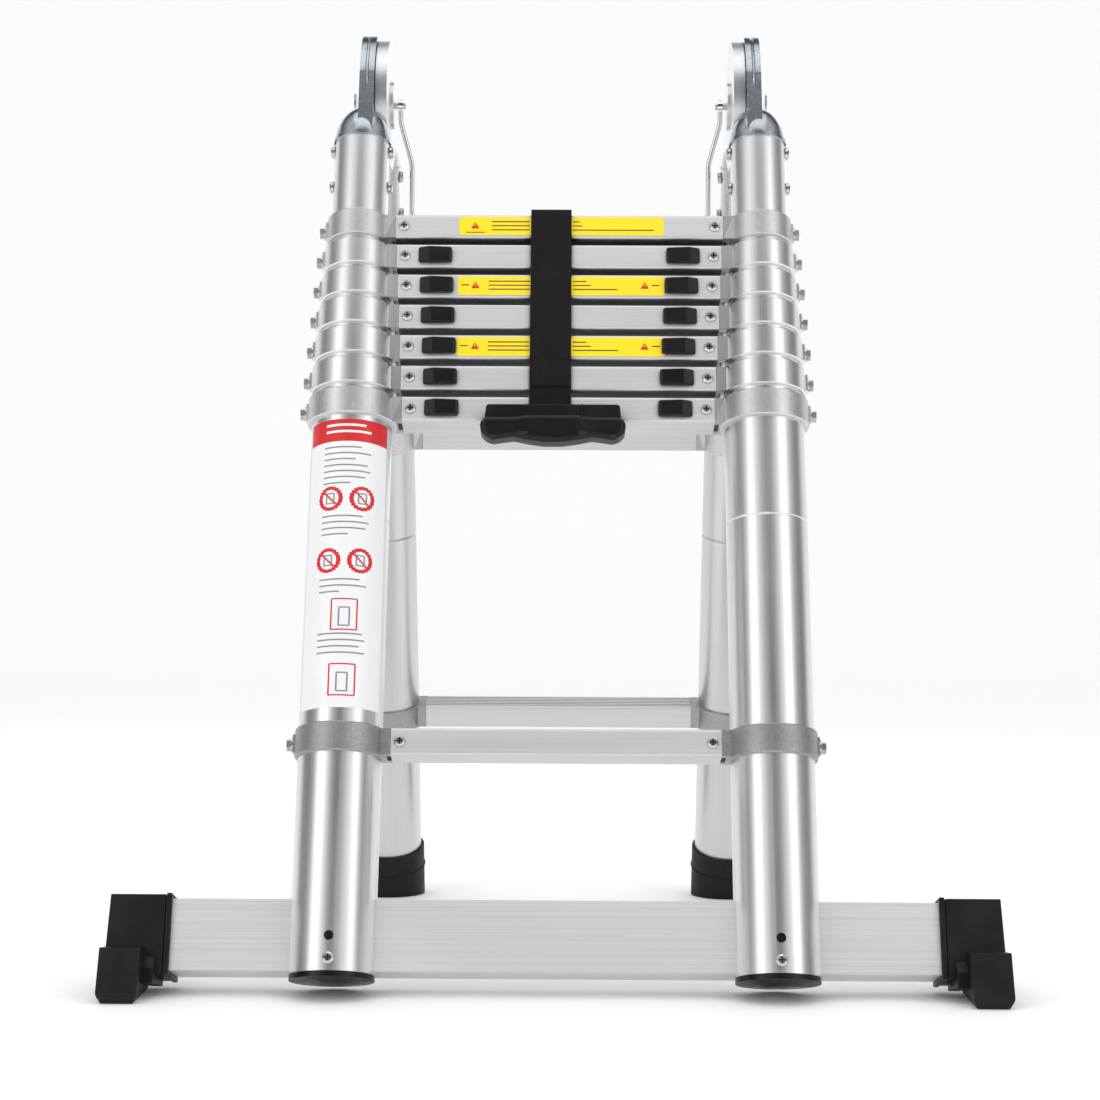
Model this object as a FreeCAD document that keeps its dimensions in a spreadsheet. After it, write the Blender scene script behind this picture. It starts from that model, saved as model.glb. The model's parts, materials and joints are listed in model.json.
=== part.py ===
import FreeCAD, Part
import math
import os
import re
import Sketcher

# A double telescopic ladder: two ladders of nested tubes, joined by a pair of disc hinges.
# World frame: +Z up, the floor at Z = 0, X across the rungs, the stabiliser bar towards -Y.
# Each half is drawn once in its own stile frame: X across, +Z up the stile with the hinge
# axle's height at Z = 0, and the plane of the stile axes at Y = 0 with the outer, climbing
# face towards -Y. Two placements then lean the halves against each other.

Vector = FreeCAD.Vector
Rotation = FreeCAD.Rotation
ALONG_X = Rotation(Vector(0, 1, 0), 90)
ALONG_Y = Rotation(Vector(1, 0, 0), 90)

doc = FreeCAD.newDocument("double_telescopic_ladder")
sheet = doc.addObject("Spreadsheet::Sheet", "Sizes")

SIZES = [
    # overall
    ("axle_height", 790), ("half_angle", 17.8), ("axle_to_stile", 42),
    ("stile_offset", 182.2), ("extended_pitch", 300), ("closed_pitch", 29.6),
    ("top_stack_drop", 333.2),
    # stiles
    ("base_stile_od", 70.8), ("tube_wall", 1.4), ("tube_gap", 0.32),
    ("end_gap", 17.2), ("inner_end_rise", 69), ("stile_end_step", 2),
    ("top_stile_start", 66), ("stop_groove_drop", 436), ("stop_groove_depth", 0.7),
    ("stop_groove_round", 1.2),
    # rungs
    ("rung_height", 23.4), ("rung_depth", 32.6), ("rung_wall", 1.8), ("rung_corner", 2.6),
    ("tread_groove", 1.4), ("tread_groove_depth", 0.8), ("tread_groove_pitch", 4.4),
    # collars
    ("collar_height", 24.6), ("collar_wall", 3.8), ("collar_chamfer", 1), ("collar_lip", 3.6),
    ("clamp_wall", 2.9), ("neck_length", 5.5), ("neck_relief", 0.5), ("spigot_length", 13),
    ("seat_gap", 0.05), ("boss_size", 15), ("boss_height", 1.2),
    # fasteners
    ("bolt_flange", 13.6), ("bolt_head", 11), ("bolt_shank", 6), ("bolt_flange_thick", 1.3),
    ("bolt_head_thick", 4.2), ("screw_head", 9.4), ("screw_head_thick", 2.4),
    ("screw_shank", 4.2), ("screw_inset", 7.4), ("screw_length", 5.5), ("screw_dome", 1.6),
    ("recess_length", 5.2), ("recess_width", 1.2), ("recess_depth", 1.3),
    # latches
    ("latch_start", 19.7), ("button_length", 30), ("button_width", 15), ("button_proud", 5.4),
    ("button_low", 1.8), ("button_ridge", 9.4), ("button_gap", 0.35), ("latch_travel", 8),
    ("stem_width", 6), ("stem_start", 11.5), ("stem_length", 9.5), ("lock_pin", 7),
    ("pin_clear", 0.35),
    # hinges
    ("front_disc_radius", 65), ("rear_disc_radius", 60), ("front_disc_inset", 10.4),
    ("front_disc_thick", 13.6), ("rear_disc_inset", 21.6), ("rear_disc_thick", 10.6),
    ("disc_clear", 1), ("dome_thick", 7), ("dome_top_radius", 22), ("rim_groove", 1.6),
    ("arm_depth", 34), ("arm_clear", 3),
    ("dome_height", 34), ("socket_band", 3.4), ("socket_wall", 1.4),
    ("socket_spigot", 52), ("spigot_wall", 4),
    ("axle_radius", 6), ("axle_clear", 0.05), ("axle_head_radius", 13), ("axle_head_thick", 3),
    ("axle_tip_radius", 3.1), ("axle_tip_length", 13.6),
    ("hinge_bolt_drop_1", 73.1), ("hinge_bolt_drop_2", 109.1), ("hinge_bolt_thick", 2.4),
    ("hinge_bolt_dome", 1.2), ("hinge_bolt_shank", 4), ("rear_boss_thick", 3),
    # release bail
    ("wire_radius", 2.4), ("bail_eye_radius", 6), ("bail_eye_gap", 9), ("bail_rod_gap", 20),
    ("bail_jog_top", 16), ("bail_jog_low", 56), ("bail_drop", 113), ("bail_corner", 12),
    # feet and stabiliser
    ("bar_half_length", 345), ("bar_rise", 78.2), ("bar_height", 58.5), ("bar_front", 10),
    ("bar_depth", 43), ("bar_wall", 2), ("bar_fit", 0.1),
    ("bar_hole", 8), ("bar_hole_drop", 33), ("bar_screw_drop", 51),
    ("sleeve_grip", 31), ("sleeve_end", 22), ("sleeve_wall", 3),
    ("foot_block_inset", 11),
    ("foot_block_rise", 37.2), ("foot_block_depth", 60), ("end_cap_thick", 4.5),
    ("rubber_wall", 3), ("rubber_rise", 57.2), ("rubber_rib", 1), ("rubber_rib_drop", 22),
    # carrying strap
    ("strap_x", -7.2), ("strap_width", 36.6), ("strap_thick", 3.2), ("strap_gap", 0.9),
    ("handle_width", 127), ("handle_depth", 20), ("handle_height", 36),
    ("handle_top_drop", 335), ("handle_corner", 7),
]
for row, (alias, value) in enumerate(SIZES, 1):
    sheet.set(f"A{row}", alias)
    sheet.set(f"B{row}", str(value))
    sheet.setAlias(f"B{row}", alias)
doc.recompute()
NAMES = {alias for alias, _ in SIZES}

# Places that follow from the sizes, so that what lines up moves together.
FOLLOWS = {
    "floor_drop": "( ( axle_height + axle_to_stile * sin(half_angle * 1deg) )"
                  " / cos(half_angle * 1deg) )",
    "base_stile_end": "( floor_drop - end_gap )",
    "inner_stile_end": "( base_stile_end - inner_end_rise )",
    "bar_top_drop": "( floor_drop - bar_rise )",
    "foot_block_top": "( floor_drop - foot_block_rise )",
    "rubber_start": "( floor_drop - rubber_rise )",
    "front_disc_inner": "( stile_offset - front_disc_inset )",
    "rear_disc_inner": "( stile_offset - rear_disc_inset )",
    "bail_eye_x": "( rear_disc_inner - bail_eye_gap )",
    "sleeve_inner_x": "( bar_half_length - sleeve_grip )",
    "sleeve_outer_x": "( bar_half_length + sleeve_end )",
    "foot_block_inner_x": "( bar_half_length - foot_block_inset )",
}


def size(alias):
    """The value of one driving size."""
    return float(getattr(sheet, alias))


def cell(expression):
    """An expression with what follows spelled out and every size written as a cell."""
    while any(word in FOLLOWS for word in re.findall(r"[a-z]\w*", expression)):
        expression = re.sub(r"[a-z]\w*", lambda word: FOLLOWS.get(word[0], word[0]), expression)
    return re.sub(r"[a-z]\w*", lambda word: f"Sizes.{word[0]}" if word[0] in NAMES else word[0],
                  expression)


def bind(item, **sizes):
    """Bind properties of an object to expressions; x, y and z place it."""
    for name, expression in sizes.items():
        path = f"Placement.Base.{name}" if name in "xyz" else name
        item.setExpression(path, cell(str(expression)))
    return item


def block(name, length, width, height, x, y, z):
    """A box given by its sizes and its centre."""
    return bind(doc.addObject("Part::Box", name), Length=length, Width=width, Height=height,
                x=f"({x}) - ({length}) / 2", y=f"({y}) - ({width}) / 2",
                z=f"({z}) - ({height}) / 2")


def cylinder(name, radius, length, x, y, z, turn=None):
    """A cylinder that starts at x, y, z and runs along +Z, or as turn says."""
    item = doc.addObject("Part::Cylinder", name)
    if turn:
        item.Placement.Rotation = turn
    return bind(item, Radius=radius, Height=length, x=x, y=y, z=z)


def cone(name, radius_1, radius_2, length, x, y, z, turn=None):
    item = doc.addObject("Part::Cone", name)
    if turn:
        item.Placement.Rotation = turn
    return bind(item, Radius1=radius_1, Radius2=radius_2, Height=length, x=x, y=y, z=z)


def fuse(name, *items):
    item = doc.addObject("Part::MultiFuse", name)
    item.Shapes = list(items)
    item.Refine = True
    return item


def cut(name, base, *tools):
    item = doc.addObject("Part::Cut", name)
    item.Base = base
    item.Tool = tools[0] if len(tools) == 1 else fuse(f"{name}_tools", *tools)
    return item


def mirrored(source):
    """The same piece on the other side of the ladder."""
    item = doc.addObject("Part::Mirroring", f"{source.Name}_right")
    item.Source = source
    item.Normal = Vector(1, 0, 0)
    return item


def pair(source):
    return [source, mirrored(source)]


def group(name, items):
    item = doc.addObject("Part::Compound", name)
    item.Links = items
    return item


# ---- places and radii down one stile ------------------------------------------------------

TOP_STAGE = 7
STAGES = range(1, TOP_STAGE + 1)


def stile_radius(stage):
    """Outer radius of a stile tube; stage 1 is the outermost and lowest."""
    return f"( base_stile_od / 2 - {stage - 1} * ( tube_wall + tube_gap ) )"


def bore_radius(stage):
    return f"( {stile_radius(stage)} - tube_wall )"


def rung_drop(rung):
    """How far below the axle a rung's centre lies; rung 1 is the highest."""
    if rung == TOP_STAGE + 1:
        return "( top_stack_drop + extended_pitch )"
    return f"( top_stack_drop - {TOP_STAGE - rung} * closed_pitch )"


def rung_stage(rung):
    """The stage that a rung is fixed to; rungs 7 and 8 are both on the base."""
    return max(1, TOP_STAGE + 1 - rung)


def slides_through(rung):
    """True where a smaller tube slides through a rung's collars, and a latch locks it."""
    return 1 < rung < TOP_STAGE + 1


def collar_radius(rung):
    wall = "clamp_wall" if rung == TOP_STAGE + 1 else "collar_wall"
    return f"( {stile_radius(rung_stage(rung))} + {wall} )"


def rung_start(rung):
    """From the stile's axis to the end of the rung."""
    return f"( {collar_radius(rung)} + neck_length )"


def stile_top(stage):
    if stage == TOP_STAGE:
        return "top_stile_start"
    return f"( {rung_drop(TOP_STAGE + 1 - stage)} - collar_height / 2 + collar_lip )"


def stile_bottom(stage):
    if stage == 1:
        return "base_stile_end"
    return f"( inner_stile_end - {stage - 2} * stile_end_step )"


LEFT = "( 0 - stile_offset )"
PIN_BORE = "( lock_pin / 2 + pin_clear )"


# ---- stile tubes --------------------------------------------------------------------------

def stile_tube(stage):
    """One tube with its latch bore near the top and its lock hole lower down."""
    name = f"stile_{stage}"
    top, bottom = stile_top(stage), stile_bottom(stage)
    outer = cylinder(f"{name}_outer", stile_radius(stage), f"{bottom} - {top}",
                     LEFT, "0", f"0 - {bottom}")
    tools = [cylinder(f"{name}_bore", bore_radius(stage), f"{bottom} - {top} + 2",
                      LEFT, "0", f"0 - {bottom} - 1")]
    if stage < TOP_STAGE:
        tools.append(cylinder(f"{name}_latch_bore", PIN_BORE, "base_stile_od", LEFT, "0",
                              f"0 - {rung_drop(TOP_STAGE + 1 - stage)}", ALONG_X))
    if stage > 1:
        lock_drop = f"{rung_drop(TOP_STAGE + 2 - stage)} + extended_pitch - closed_pitch"
        tools.append(cylinder(f"{name}_lock_hole", PIN_BORE, "base_stile_od", LEFT, "0",
                              f"0 - ( {lock_drop} )", ALONG_X))
    if stage == TOP_STAGE:
        for number in (1, 2):
            tools.append(cylinder(f"{name}_bolt_hole_{number}", "bolt_shank / 2 + seat_gap",
                                  "2 * base_stile_od", f"{LEFT} - base_stile_od", "0",
                                  f"0 - hinge_bolt_drop_{number}", ALONG_X))
    if stage == 1:
        groove = doc.addObject("Part::Torus", "stop_groove")
        bind(groove, Radius1=f"{stile_radius(1)} + stop_groove_round - stop_groove_depth",
             Radius2="stop_groove_round",
             x=LEFT, z="0 - stop_groove_drop")
        tools.append(groove)
    return cut(name, outer, *tools)


# ---- rungs --------------------------------------------------------------------------------

def rung_extrusion(rung):
    """A hollow extrusion with tread grooves, and slots for its latch buttons."""
    name = f"rung_{rung}"
    length = f"( 2 * ( stile_offset - {rung_start(rung)} ) )"
    body = doc.addObject("PartDesign::Body", name)
    bind(body, z=f"0 - {rung_drop(rung)}")
    side = [f for f in body.Origin.OriginFeatures if f.Role == "YZ_Plane"][0]

    sketch = body.newObject("Sketcher::SketchObject", f"{name}_section")
    sketch.AttachmentSupport = [(side, "")]
    sketch.MapMode = "FlatFace"
    width, height = size("rung_depth"), size("rung_height")
    corners = [Vector(-width / 2, -height / 2, 0), Vector(width / 2, -height / 2, 0),
               Vector(width / 2, height / 2, 0), Vector(-width / 2, height / 2, 0)]
    draw_section(sketch, corners)
    pad = body.newObject("PartDesign::Pad", f"{name}_pad")
    pad.Profile = sketch
    pad.Midplane = True
    bind(pad, Length=length)
    sketch.Visibility = False
    doc.recompute()

    long_edges = [f"Edge{i}" for i, edge in enumerate(pad.Shape.Edges, 1)
                  if edge.BoundBox.XLength > 1]
    rounding = body.newObject("PartDesign::Fillet", f"{name}_corners")
    rounding.Base = (pad, long_edges)
    bind(rounding, Radius="rung_corner")

    cavity = body.newObject("PartDesign::SubtractiveBox", f"{name}_cavity")
    bind(cavity, Length=f"{length} + 2", Width="rung_depth - 2 * rung_wall",
         Height="rung_height - 2 * rung_wall", x=f"0 - {length} / 2 - 1",
         y="rung_wall - rung_depth / 2", z="rung_wall - rung_height / 2")

    groove = body.newObject("PartDesign::SubtractiveBox", f"{name}_groove")
    bind(groove, Length=f"{length} + 2", Width="tread_groove", Height="tread_groove_depth + 1",
         x=f"0 - {length} / 2 - 1", y="0 - 2.5 * tread_groove_pitch - tread_groove / 2",
         z="rung_height / 2 - tread_groove_depth")
    pattern = body.newObject("PartDesign::LinearPattern", f"{name}_grooves")
    pattern.Originals = [groove]
    across = [f for f in body.Origin.OriginFeatures if f.Role == "Y_Axis"][0]
    pattern.Direction = (across, [""])
    pattern.Occurrences = 6
    bind(pattern, Length="5 * tread_groove_pitch")
    body.Tip = pattern

    for side_name, sign in (("left", -1), ("right", 1)):
        hole = body.newObject("PartDesign::SubtractiveCylinder", f"{name}_{side_name}_hole")
        hole.Placement.Rotation = ALONG_Y
        middle = f"( stile_offset - {rung_start(rung)} - screw_inset )"
        bind(hole, Radius="screw_shank / 2 + seat_gap", Height="rung_wall + 2",
             x=f"{sign} * {middle}", y="rung_wall + 1 - rung_depth / 2", z="0")
        body.Tip = hole
        if slides_through(rung):
            slot = body.newObject("PartDesign::SubtractiveBox", f"{name}_{side_name}_slot")
            slot_length = "( stem_length + latch_travel + 1 )"
            start = f"( stile_offset - {rung_start(rung)} - latch_start - stem_start + 0.5 )"
            edge = f"{start} - {slot_length}" if sign > 0 else f"0 - {start}"
            bind(slot, Length=slot_length, Width="rung_wall + 2", Height="stem_width + 1",
                 x=edge, y="0 - rung_depth / 2 - 1", z="0 - ( stem_width + 1 ) / 2")
            body.Tip = slot
    return body


def draw_section(sketch, corners):
    """Draw a rectangle whose width and height follow the rung's depth and height."""
    for i in range(4):
        sketch.addGeometry(Part.LineSegment(corners[i], corners[(i + 1) % 4]), False)
    for i in range(4):
        sketch.addConstraint(Sketcher.Constraint("Coincident", i, 2, (i + 1) % 4, 1))
    for i in (0, 2):
        sketch.addConstraint(Sketcher.Constraint("Horizontal", i))
    for i in (1, 3):
        sketch.addConstraint(Sketcher.Constraint("Vertical", i))
    sketch.addConstraint(Sketcher.Constraint("Symmetric", 0, 1, 1, 2, -1, 1))
    width = sketch.addConstraint(Sketcher.Constraint("DistanceX", 0, 1, 0, 2, 1.0))
    height = sketch.addConstraint(Sketcher.Constraint("DistanceY", 1, 1, 1, 2, 1.0))
    sketch.setExpression(f"Constraints[{width}]", "Sizes.rung_depth")
    sketch.setExpression(f"Constraints[{height}]", "Sizes.rung_height")


# ---- collars and clamps -------------------------------------------------------------------

def collar(rung):
    """The left casting that joins a rung to its stile; the right one is its mirror."""
    name = f"collar_{rung}"
    stage = rung_stage(rung)
    radius, drop = collar_radius(rung), rung_drop(rung)
    bottom = f"( 0 - {drop} - collar_height / 2 )"
    band = cylinder(f"{name}_band", radius, "collar_height - 2 * collar_chamfer",
                    LEFT, "0", f"{bottom} + collar_chamfer")
    low = cone(f"{name}_low", f"{radius} - collar_chamfer", radius, "collar_chamfer",
               LEFT, "0", bottom)
    high = cone(f"{name}_high", radius, f"{radius} - collar_chamfer", "collar_chamfer",
                LEFT, "0", f"0 - {drop} + collar_height / 2 - collar_chamfer")
    neck_end = f"( {rung_start(rung)} - 0.2 )"
    neck = block(f"{name}_neck", neck_end, "rung_depth - 2 * neck_relief",
                 "rung_height - 2 * neck_relief", f"{LEFT} + {neck_end} / 2", "0", f"0 - {drop}")
    reach = f"( {rung_start(rung)} + spigot_length )"
    inside = "2 * ( rung_wall + seat_gap )"
    spigot = block(f"{name}_spigot", reach, f"rung_depth - {inside}", f"rung_height - {inside}",
                   f"{LEFT} + {reach} / 2", "0", f"0 - {drop}")
    boss_reach = f"( {radius} + boss_height )"
    boss = block(f"{name}_boss", boss_reach, "boss_size", "boss_size",
                 f"{LEFT} - {boss_reach} / 2", "0", f"0 - {drop}")
    solid = fuse(f"{name}_solid", band, low, high, neck, spigot, boss)

    tools = [cylinder(f"{name}_seat", stile_radius(stage), "2 * collar_height",
                      LEFT, "0", f"0 - {drop} - collar_height")]
    if slides_through(rung):
        tools = [cylinder(f"{name}_seat", stile_radius(stage), "collar_height - collar_lip + 2",
                          LEFT, "0", f"{bottom} - 2"),
                 cylinder(f"{name}_bore", f"{stile_radius(stage + 1)} + tube_gap",
                          "2 * collar_height", LEFT, "0", f"0 - {drop} - collar_height"),
                 cylinder(f"{name}_pin_bore", PIN_BORE, "stile_offset", LEFT, "0",
                          f"0 - {drop}", ALONG_X)]
    tools.append(cylinder(f"{name}_bolt_hole", "bolt_shank / 2 + seat_gap", "base_stile_od",
                          f"{LEFT} - base_stile_od", "0", f"0 - {drop}", ALONG_X))
    tools.append(cylinder(f"{name}_screw_hole", "screw_shank / 2 + seat_gap", "rung_depth",
                          f"{LEFT} + {rung_start(rung)} + screw_inset", "0", f"0 - {drop}",
                          ALONG_Y))
    pocket_length = "( neck_length + 3 )"
    tools.append(block(f"{name}_pocket", pocket_length, "rung_depth / 2", "rung_height / 2",
                       f"{LEFT} + {radius} + 1.5 + {pocket_length} / 2", "0",
                       f"0 - {drop} - rung_height / 2"))
    return cut(name, solid, *tools)


def side_bolt(rung):
    """The flanged hexagon bolt on the outer side of a collar."""
    name = f"side_bolt_{rung}"
    seat = f"( 0 - stile_offset - {collar_radius(rung)} - boss_height )"
    z = f"0 - {rung_drop(rung)}"
    flange = cylinder(f"{name}_flange", "bolt_flange / 2", "bolt_flange_thick",
                      f"{seat} - bolt_flange_thick", "0", z, ALONG_X)
    head = doc.addObject("Part::Prism", f"{name}_head")
    head.Polygon = 6
    head.Placement.Rotation = ALONG_X
    bind(head, Circumradius="bolt_head / 2", Height="bolt_head_thick",
         x=f"{seat} - bolt_flange_thick - bolt_head_thick", y="0", z=z)
    shank = cylinder(f"{name}_shank", "bolt_shank / 2", "clamp_wall + boss_height - 0.4",
                     seat, "0", z, ALONG_X)
    return fuse(name, flange, head, shank)


def cross_screw(name, x, drop, y_face, sign=1):
    """A pan-head cross screw that goes in along Y; its head stands off the face at y_face."""
    z = f"0 - {drop}"
    turn = Rotation(Vector(1, 0, 0), 90 * sign)
    dome = "screw_head_thick / 2"
    low = cylinder(f"{name}_low", "screw_head / 2", dome, x, y_face, z, turn)
    high = cone(f"{name}_high", "screw_head / 2", "screw_head / 2 - screw_dome", dome, x,
                f"{y_face} - {sign} * {dome}", z, turn)
    shank = cylinder(f"{name}_shank", "screw_shank / 2", "screw_length", x,
                     f"{y_face} + {sign} * screw_length", z, turn)
    body = fuse(f"{name}_solid", low, high, shank)
    centre = f"{y_face} - {sign} * ( screw_head_thick - recess_depth / 2 )"
    wide = block(f"{name}_wide", "recess_length", "recess_depth", "recess_width", x, centre, z)
    tall = block(f"{name}_tall", "recess_width", "recess_depth", "recess_length", x, centre, z)
    return cut(name, body, wide, tall)


def rung_screw(rung):
    return cross_screw(f"rung_screw_{rung}", f"{LEFT} + {rung_start(rung)} + screw_inset",
                       rung_drop(rung), "0 - rung_depth / 2")


# ---- latches ------------------------------------------------------------------------------

def latch(rung):
    """The left slide button with its carriage, and the lock pin that it draws back."""
    name = f"latch_{rung}"
    start = f"( 0 - stile_offset + {rung_start(rung)} + latch_start )"
    face = "( 0 - rung_depth / 2 - button_gap )"
    z = f"0 - {rung_drop(rung)}"
    crown = block(f"{name}_crown", "button_length", "button_proud", "button_width",
                  f"{start} + button_length / 2", f"{face} - button_proud / 2", z)
    shape = cut(f"{name}_button", crown, button_facet(name, start, face, z))
    stem_x = f"{start} + stem_start + stem_length / 2"
    stem = block(f"{name}_stem", "stem_length", "rung_wall + 2 * button_gap + 2",
                 "stem_width", stem_x, "0 - rung_depth / 2 + rung_wall / 2", z)
    inside = "( rung_height - 2 * rung_wall - 3 )"
    carriage = block(f"{name}_carriage", "stem_length + 6", "rung_depth / 2 - rung_wall - 1",
                     inside, f"{stem_x}", "( 1 + rung_wall - rung_depth / 2 ) / 2 - 0.5", z)
    slider = fuse(f"{name}_slider", shape, stem, carriage)
    next_tube = stile_radius(rung_stage(rung) + 1)
    tip = f"( 0 - stile_offset + {next_tube} + tube_gap )"
    pin = cylinder(f"{name}_pin", "lock_pin / 2",
                   f"{stem_x} - stem_length / 2 - 3 - {tip}", tip, "0", z, ALONG_X)
    return group(f"{name}_left", [slider, pin])


def button_facet(name, start, face, z):
    """The block that leaves the button's outer third as a slope, turned about its ridge."""
    drop = "( button_proud - button_low )"
    tool = doc.addObject("Part::Box", f"{name}_slope")
    bind(tool, Length="2 * button_ridge", Width="button_proud", Height="button_width + 2",
         z=f"{z} - button_width / 2 - 1")
    angle = f"atan( {drop} / button_ridge )"
    tool.setExpression("Placement.Rotation.Angle", cell(f"-1 * {angle}"))
    tool.setExpression("Placement.Base.x", cell(
        f"{start} + button_ridge - 2 * button_ridge * cos( {angle} )"
        f" - button_proud * sin( {angle} )"))
    tool.setExpression("Placement.Base.y", cell(
        f"{face} - button_proud + 2 * button_ridge * sin( {angle} )"
        f" - button_proud * cos( {angle} )"))
    return tool


# ---- hinges -------------------------------------------------------------------------------

AXLE_Y = "axle_to_stile"


def socket(name, disc, clearance):
    """A disc joined to a dome, a band and a spigot that plugs into the top stile tube."""
    radius = stile_radius(TOP_STAGE)
    top = "0 - top_stile_start"
    flare = doc.addObject("Part::Ellipsoid", f"{name}_dome")
    flare.Angle1 = 0
    bind(flare, Radius1="dome_height", Radius2=radius, Radius3=radius, x=LEFT,
         z=f"{top} + socket_band")
    band = cylinder(f"{name}_band", f"{radius} + socket_wall", "socket_band", LEFT, "0", top)
    spigot = cylinder(f"{name}_spigot", f"{bore_radius(TOP_STAGE)} - seat_gap",
                      "socket_spigot + 1", LEFT, "0", f"{top} - socket_spigot")
    relieved = cut(f"{name}_relieved", fuse(f"{name}_neck", flare, band), clearance)
    solid = fuse(f"{name}_solid", relieved, spigot, disc)
    hollow = cylinder(f"{name}_hollow", f"{bore_radius(TOP_STAGE)} - spigot_wall",
                      "socket_spigot", LEFT, "0", f"{top} - socket_spigot - 1")
    tools = [hollow]
    for number in (1, 2):
        tools.append(cylinder(f"{name}_bolt_hole_{number}", "bolt_shank / 2 + seat_gap",
                              "2 * base_stile_od", f"{LEFT} - base_stile_od", "0",
                              f"0 - hinge_bolt_drop_{number}", ALONG_X))
    return cut(name, solid, *tools)


def front_casting():
    """The outer disc of the left hinge, domed towards its rivet, on the front stile."""
    name = "front_casting"
    outer_x = "0 - front_disc_inner - front_disc_thick"
    disc = cylinder(f"{name}_disc", "front_disc_radius", "front_disc_thick", outer_x,
                    AXLE_Y, "0", ALONG_X)
    dome = cone(f"{name}_dome", "dome_top_radius", "front_disc_radius - 1", "dome_thick",
                f"{outer_x} - dome_thick", AXLE_Y, "0", ALONG_X)
    rim = doc.addObject("Part::Torus", f"{name}_rim_groove")
    rim.Placement.Rotation = ALONG_X
    bind(rim, Radius1="front_disc_radius + 0.4", Radius2="rim_groove",
         x=f"{outer_x} + front_disc_thick / 2", y=AXLE_Y, z="0")
    bore = cylinder(f"{name}_bore", "axle_radius", "3 * front_disc_thick",
                    f"{outer_x} - front_disc_thick", AXLE_Y, "0", ALONG_X)
    arm_end = "( top_stile_start - socket_band - arm_clear )"
    arm = block(f"{name}_arm", "front_disc_thick", "arm_depth", arm_end,
                f"{outer_x} + front_disc_thick / 2",
                f"{AXLE_Y} - front_disc_radius + arm_depth / 2", f"0 - {arm_end} / 2")
    plate = cut(f"{name}_plate", fuse(f"{name}_blank", disc, dome, arm), rim)
    relief = cylinder(f"{name}_relief", "rear_disc_radius + disc_clear",
                      "front_disc_inner - rear_disc_inner + 10",
                      "0 - front_disc_inner", AXLE_Y, "0", ALONG_X)
    return cut("front_hinge", socket(name, plate, relief), bore)


def rear_casting():
    """The inner disc of the left hinge, on the rear stile."""
    name = "rear_casting"
    outer_x = "0 - rear_disc_inner - rear_disc_thick"
    disc = cylinder(f"{name}_disc", "rear_disc_radius", "rear_disc_thick", outer_x, AXLE_Y,
                    "0", ALONG_X)
    boss = cylinder(f"{name}_boss", "dome_top_radius", "rear_boss_thick",
                    "0 - rear_disc_inner", AXLE_Y, "0", ALONG_X)
    bore = cylinder(f"{name}_bore", "axle_radius + axle_clear", "3 * rear_disc_thick",
                    f"{outer_x} - rear_disc_thick", AXLE_Y, "0", ALONG_X)
    relief = cylinder(f"{name}_relief", "front_disc_radius + disc_clear", "60",
                      f"{outer_x} + 0.4 - 60", AXLE_Y, "0", ALONG_X)
    plate = fuse(f"{name}_plate", disc, boss)
    return cut("rear_hinge", socket(name, plate, relief), bore)


def hinge_axle():
    """The left rivet, with its head outside and the tip that carries the release bail."""
    head_x = "0 - front_disc_inner - front_disc_thick - dome_thick"
    head = cone("axle_head", "axle_head_radius - 2", "axle_head_radius", "axle_head_thick",
                f"{head_x} - axle_head_thick", AXLE_Y, "0", ALONG_X)
    shaft = cylinder("axle_shaft", "axle_radius", f"0 - rear_disc_inner + rear_boss_thick - ({head_x})",
                     head_x, AXLE_Y, "0", ALONG_X)
    tip = cylinder("axle_tip", "axle_tip_radius", "axle_tip_length",
                   "0 - rear_disc_inner", AXLE_Y, "0", ALONG_X)
    return fuse("axle", head, shaft, tip)


def hinge_bolts(half):
    """The heads of the through bolts that hold a casting in the top stile tube."""
    heads = []
    for number in (1, 2):
        for side, sign in (("outer", -1), ("inner", 1)):
            name = f"{half}_hinge_bolt_{number}_{side}"
            seat = f"( {LEFT} + {sign} * {stile_radius(TOP_STAGE)} )"
            shank_start = f"{seat} - hinge_bolt_shank" if sign > 0 else seat
            z = f"0 - hinge_bolt_drop_{number}"
            turn = ALONG_X if sign > 0 else Rotation(Vector(0, 1, 0), -90)
            washer = cylinder(f"{name}_head", "bolt_head / 2", "hinge_bolt_thick", seat, "0", z,
                              turn)
            dome = cone(f"{name}_dome", "bolt_head / 2", "bolt_head / 2 - hinge_bolt_dome",
                        "hinge_bolt_dome", f"{seat} + {sign} * hinge_bolt_thick", "0", z, turn)
            shank = cylinder(f"{name}_shank", "bolt_shank / 2", "hinge_bolt_shank",
                             shank_start, "0", z, ALONG_X)
            heads.append(fuse(name, washer, dome, shank))
    return heads


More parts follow.
